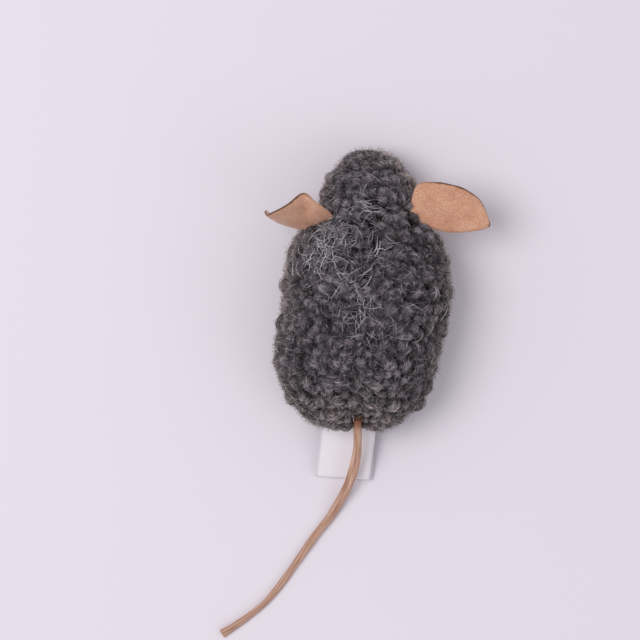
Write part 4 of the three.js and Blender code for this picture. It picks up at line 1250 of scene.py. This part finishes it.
print(suede_material.name, "has", len(suede_material.node_tree.nodes), "nodes")

# %% [markdown]
# The lace could be a curve with a bevel, but its width, its thickness and its twist change along it. So its
# rings are worked out one after the other, with a groove in the upper side, and closed at both ends.

# %% Roll the lace
place_along = np.linspace(0, 1, TAIL_RINGS)
width = along_table(TAIL_WIDTHS, place_along)[:, 0]
width = width * (1 + 0.03 * np.sin(37 * place_along) + 0.02 * np.sin(83 * place_along + 1))
twist = np.radians(along_table(TAIL_TWISTS, place_along)[:, 0])
thick = np.interp(place_along, [0, 0.1, 0.6, 0.9, 1], [1.35, 1.45, 1.4, 1.3, 1.2])
ahead = unit(np.gradient(tail_path, axis=0))
level = unit(np.cross(ahead, [0, 0, 1]))
above = np.cross(level, ahead)
turned_level = level * np.cos(twist)[:, None] + above * np.sin(twist)[:, None]
turned_above = np.cross(turned_level, ahead)
angle = 2 * np.pi * np.arange(TAIL_SIDES) / TAIL_SIDES
across = np.sign(np.cos(angle)) * np.abs(np.cos(angle)) ** 0.8
high = np.sign(np.sin(angle)) * np.abs(np.sin(angle)) ** 0.8
groove = 0.1 + 0.12 * np.sin(9 * place_along + 0.5)
dent = np.exp(-(((across[None] - groove[:, None]) / 0.2) ** 2)) * np.where(high > 0, 0.26, 0.16)
rows = (
    tail_path[:, None]
    + (width[:, None] / 2 * across[None])[..., None] * turned_level[:, None]
    + (thick[:, None] / 2 * high[None] * (1 - dent))[..., None] * turned_above[:, None]
)
rows[..., 2] = np.maximum(rows[..., 2], LACE_LOWEST)
points = np.vstack([rows.reshape(-1, 3), rows[0].mean(0), rows[-1].mean(0)])
i = np.arange(TAIL_RINGS - 1)[:, None]
j = np.arange(TAIL_SIDES)[None]
k = (j + 1) % TAIL_SIDES
this, after = i * TAIL_SIDES, (i + 1) * TAIL_SIDES
quads = np.stack([this + j, this + k, after + k, after + j], -1)
faces = [list(map(int, f)) for f in quads.reshape(-1, 4)]
start_hub, end_hub = len(points) - 2, len(points) - 1
last = (TAIL_RINGS - 1) * TAIL_SIDES
faces += [[start_hub, (n + 1) % TAIL_SIDES, n] for n in range(TAIL_SIDES)]
faces += [[end_hub, last + n, last + (n + 1) % TAIL_SIDES] for n in range(TAIL_SIDES)]
mesh = bpy.data.meshes.new("lace")
mesh.from_pydata((points * MM).tolist(), [], faces)
lace = bpy.data.objects.new("lace", mesh)
bpy.context.scene.collection.objects.link(lace)
lace_layer = mesh.uv_layers.new(name="lace")
for loop in mesh.loops:
    n = loop.vertex_index
    ring, spot = divmod(n, TAIL_SIDES)
    if n >= start_hub:
        ring, spot = (0, 0) if n == start_hub else (TAIL_RINGS - 1, 0)
    lace_layer.data[loop.index].uv = (abs(2 * spot / TAIL_SIDES - 1), ring / (TAIL_RINGS - 1))
pick(lace)
bpy.ops.object.mode_set(mode="EDIT")
bpy.ops.mesh.select_all(action="SELECT")
bpy.ops.mesh.normals_make_consistent(inside=False)
bpy.ops.object.mode_set(mode="OBJECT")
bpy.ops.object.shade_smooth_by_angle(angle=math.radians(50))
lace.data.materials.append(suede_material)
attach(lace, "tail")
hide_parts("tail_cord")
print("the lace has", len(faces), "faces in", TAIL_RINGS - 1, "rings")

# %% [markdown]
# ## Label
#
# A strip of white satin ribbon is folded in two, and its ends are caught in the seam below the tail. It is
# bare. A grid is the ribbon: it goes out, round the fold and back, and its layers stray a little.
#
# Woven polyester satin: white with a faint lavender tint, and a soft gloss. The weft is 0.2 mm apart, and is
# drawn at 0.35 mm so that it shows. The selvedge along both sides is denser.

# %% Finish of the ribbon
satin_material, shader = new_material("white polyester satin ribbon")
ribbon_uv = add_node(satin_material, "UVMap", uv_map="ribbon")["UV"]
across = add_node(satin_material, "SeparateXYZ", {"Vector": ribbon_uv})["X"]
bands = {"Vector": ribbon_uv, "Scale": 14.0, "Distortion": 0.6}
weft = add_node(satin_material, "TexWave", bands, wave_type="BANDS", bands_direction="Y")["Fac"]
stops = [(0.0, "#d6cfd8"), (0.035, "#e2dbe3"), (0.05, "#eee8ee")]
stops += [(0.95, "#eee8ee"), (0.965, "#e2dbe3"), (1.0, "#d6cfd8")]
selvedge = add_node(satin_material, "ValToRGB", {"Fac": across}, stops=stops)["Color"]
bump = add_node(satin_material, "Bump", {"Height": weft, "Strength": 0.35, "Distance": 0.05 * MM})["Normal"]
gloss = {"Roughness": 0.42, "Sheen Weight": 0.3}
connect(satin_material, shader, {"Base Color": selvedge, "Normal": bump, **gloss})
print(satin_material.name, "has", len(satin_material.node_tree.nodes), "nodes")

# %% [markdown]
# The ribbon's place is worked out from the run along it, from one end at the seam round the fold to the
# other. Near the seam it is gathered, so that it is narrower there and slightly wavy.

# %% Fold the ribbon
LABEL_WIDTH = 14.5
LABEL_REACH = 16.1
LABEL_ROOT_WIDTH = 11
LABEL_TURN = math.radians(-4)
RIBBON_THICKNESS = 0.22
TURN_RADIUS = 0.42  # of the fold
HALF_TURN = 0.05  # of the run, on either side of the fold's middle
TIP_HEIGHT = 0.95
SLOPE = math.asin((LABEL_ROOT[2] - TIP_HEIGHT) / LABEL_REACH)
deselect()
bpy.ops.mesh.primitive_grid_add(x_subdivisions=28, y_subdivisions=90, size=2)
ribbon = bpy.context.object
ribbon.name = ribbon.data.name = "ribbon"
flat = np.array([v.co for v in ribbon.data.vertices])
across = flat[:, 0]
run = flat[:, 1]
layer = ribbon.data.uv_layers.active
layer.name = "ribbon"
corner = np.array([loop.vertex_index for loop in ribbon.data.loops])
uv = np.stack([(across[corner] + 1) / 2, run[corner] * 1.05], -1)
layer.data.foreach_set("uv", uv.astype(np.float32).ravel())
upper = run > HALF_TURN
lower = run < -HALF_TURN
out_by = np.where(
    upper | lower,
    (LABEL_REACH - TURN_RADIUS) * (1 - (np.abs(run) - HALF_TURN) / (1 - HALF_TURN)),
    LABEL_REACH - TURN_RADIUS + TURN_RADIUS * np.cos(np.pi / 2 * run / HALF_TURN),
)
height = np.clip(run / HALF_TURN, -1, 1)
height = TURN_RADIUS * np.where(upper | lower, height, np.sin(np.pi / 2 * height))
near_root = smooth(2.0, 0.4, out_by)
wide = LABEL_WIDTH + (LABEL_ROOT_WIDTH - LABEL_WIDTH) * near_root
x = across * wide / 2
height = height * (1 - 0.75 * near_root)
wavy = 0.1 * np.sin(0.5 * x + 0.35 * out_by) * (1 - near_root)
height += 0.2 * near_root * np.sin(5.5 * across) + wavy
x += np.where(run < 0, 0.035 * out_by, 0)
out_by = out_by * (1 - 0.0035 * x)
y = -out_by * np.cos(SLOPE) + height * np.sin(SLOPE)
z = -out_by * np.sin(SLOPE) + height * np.cos(SLOPE)
turn_sin, turn_cos = math.sin(LABEL_TURN), math.cos(LABEL_TURN)
turned = np.stack([x * turn_cos - y * turn_sin, x * turn_sin + y * turn_cos, z], -1)
ribbon.data.vertices.foreach_set("co", ((turned + LABEL_ROOT) * MM).ravel())
ribbon.data.update()
ribbon_area = sum(face.area for face in ribbon.data.polygons)
ribbon.data.materials.append(satin_material)
thick = ribbon.modifiers.new("thickness of the ribbon", "SOLIDIFY")
thick.thickness = RIBBON_THICKNESS * MM
thick.offset = 0
bpy.ops.object.modifier_apply(modifier=thick.name)
bpy.ops.object.shade_smooth_by_angle(angle=math.radians(50))
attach(ribbon, "label")
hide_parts("care_label")
print("ribbon area", round(ribbon_area * 1e6), "mm2")

# %% [markdown]
# ## What is inside
#
# The wadding, the crinkling film, the catnip and the sewing thread keep their solids and get real finishes.


# %% Finishes of the hidden parts
def speckled(name, grain, stops, roughness, relief, metallic=0.0):
    """A finish of noise whose grains and relief have a real size in millimetres."""
    material, shader = new_material(name)
    place = add_node(material, "TexCoord")["Object"]
    noise = add_node(material, "TexNoise", {"Vector": place, "Scale": 1 / (grain * MM), "Detail": 4.0})["Fac"]
    shade = add_node(material, "ValToRGB", {"Fac": noise}, stops=stops)["Color"]
    bump = add_node(material, "Bump", {"Height": noise, "Strength": 0.6, "Distance": relief * MM})["Normal"]
    gloss = {"Roughness": roughness, "Metallic": metallic}
    connect(material, shader, {"Base Color": shade, "Normal": bump, **gloss})
    return material


# Grains, colours, roughness, relief and how metallic each is.
wadding = speckled("polyester wadding", 1.2, [(0.35, "#d9d6cf"), (0.65, "#f4f2ec")], 1.0, 0.6)
herb = speckled("dried catnip", 0.9, [(0.35, "#5b6238"), (0.55, "#7b8250"), (0.7, "#a3a673")], 0.95, 0.4)
film = speckled("crinkling polyester film", 3.0, [(0.4, "#c0c4c9"), (0.6, "#e2e4e8")], 0.25, 0.1, 0.3)
sewing = speckled("polyester sewing thread", 0.4, [(0.4, "#2c2a2d"), (0.6, "#454246")], 0.7, 0.08)
finishes = {"filling": wadding, "catnip": herb, "foil": film, "thread": sewing, "stitch": sewing}
finished = {name: solid for name, solid in nodes.items() if name.split("_")[-1] in finishes}
for name, solid in finished.items():
    for slot in solid.material_slots:
        slot.link = "OBJECT"
        slot.material = finishes[name.split("_")[-1]]
print(len(finished), "solids finished:", ", ".join(finished))

# %% [markdown]
# The knot at the tail's root just shows between the locks. It is a pulled-tight lump of the same lace, so a
# ball with a few shallow turns is enough.

# %% Knot of the tail
KNOT_RADIUS = 1.6
deselect()
bpy.ops.mesh.primitive_uv_sphere_add(segments=40, ring_count=24, radius=1)
knot = bpy.context.object
knot.name = knot.data.name = "knot"
ball = np.array([v.co for v in knot.data.vertices])
turns = 1 - 0.07 * np.cos(4.5 * ball[:, 2] + 2 * ball[:, 0]) ** 2
knot.data.vertices.foreach_set("co", ((ball * KNOT_RADIUS * turns[:, None] + KNOT) * MM).ravel())
knot.data.update()
bpy.ops.object.shade_smooth()
# The knot is painted darker than the lace, as painted shade, so that where it shows between the locks it
# reads as shadow.
knot_suede_in_painted_shade = speckled("tan split leather, knotted, in painted shade", 0.8, [(0.3, "#7d523f"), (0.7, "#b58a74")], 0.85, 0.1)
knot.data.materials.append(knot_suede_in_painted_shade)
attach(knot, "tail_root")
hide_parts("tail_knot")
print("the knot is", 2 * KNOT_RADIUS, "mm wide")
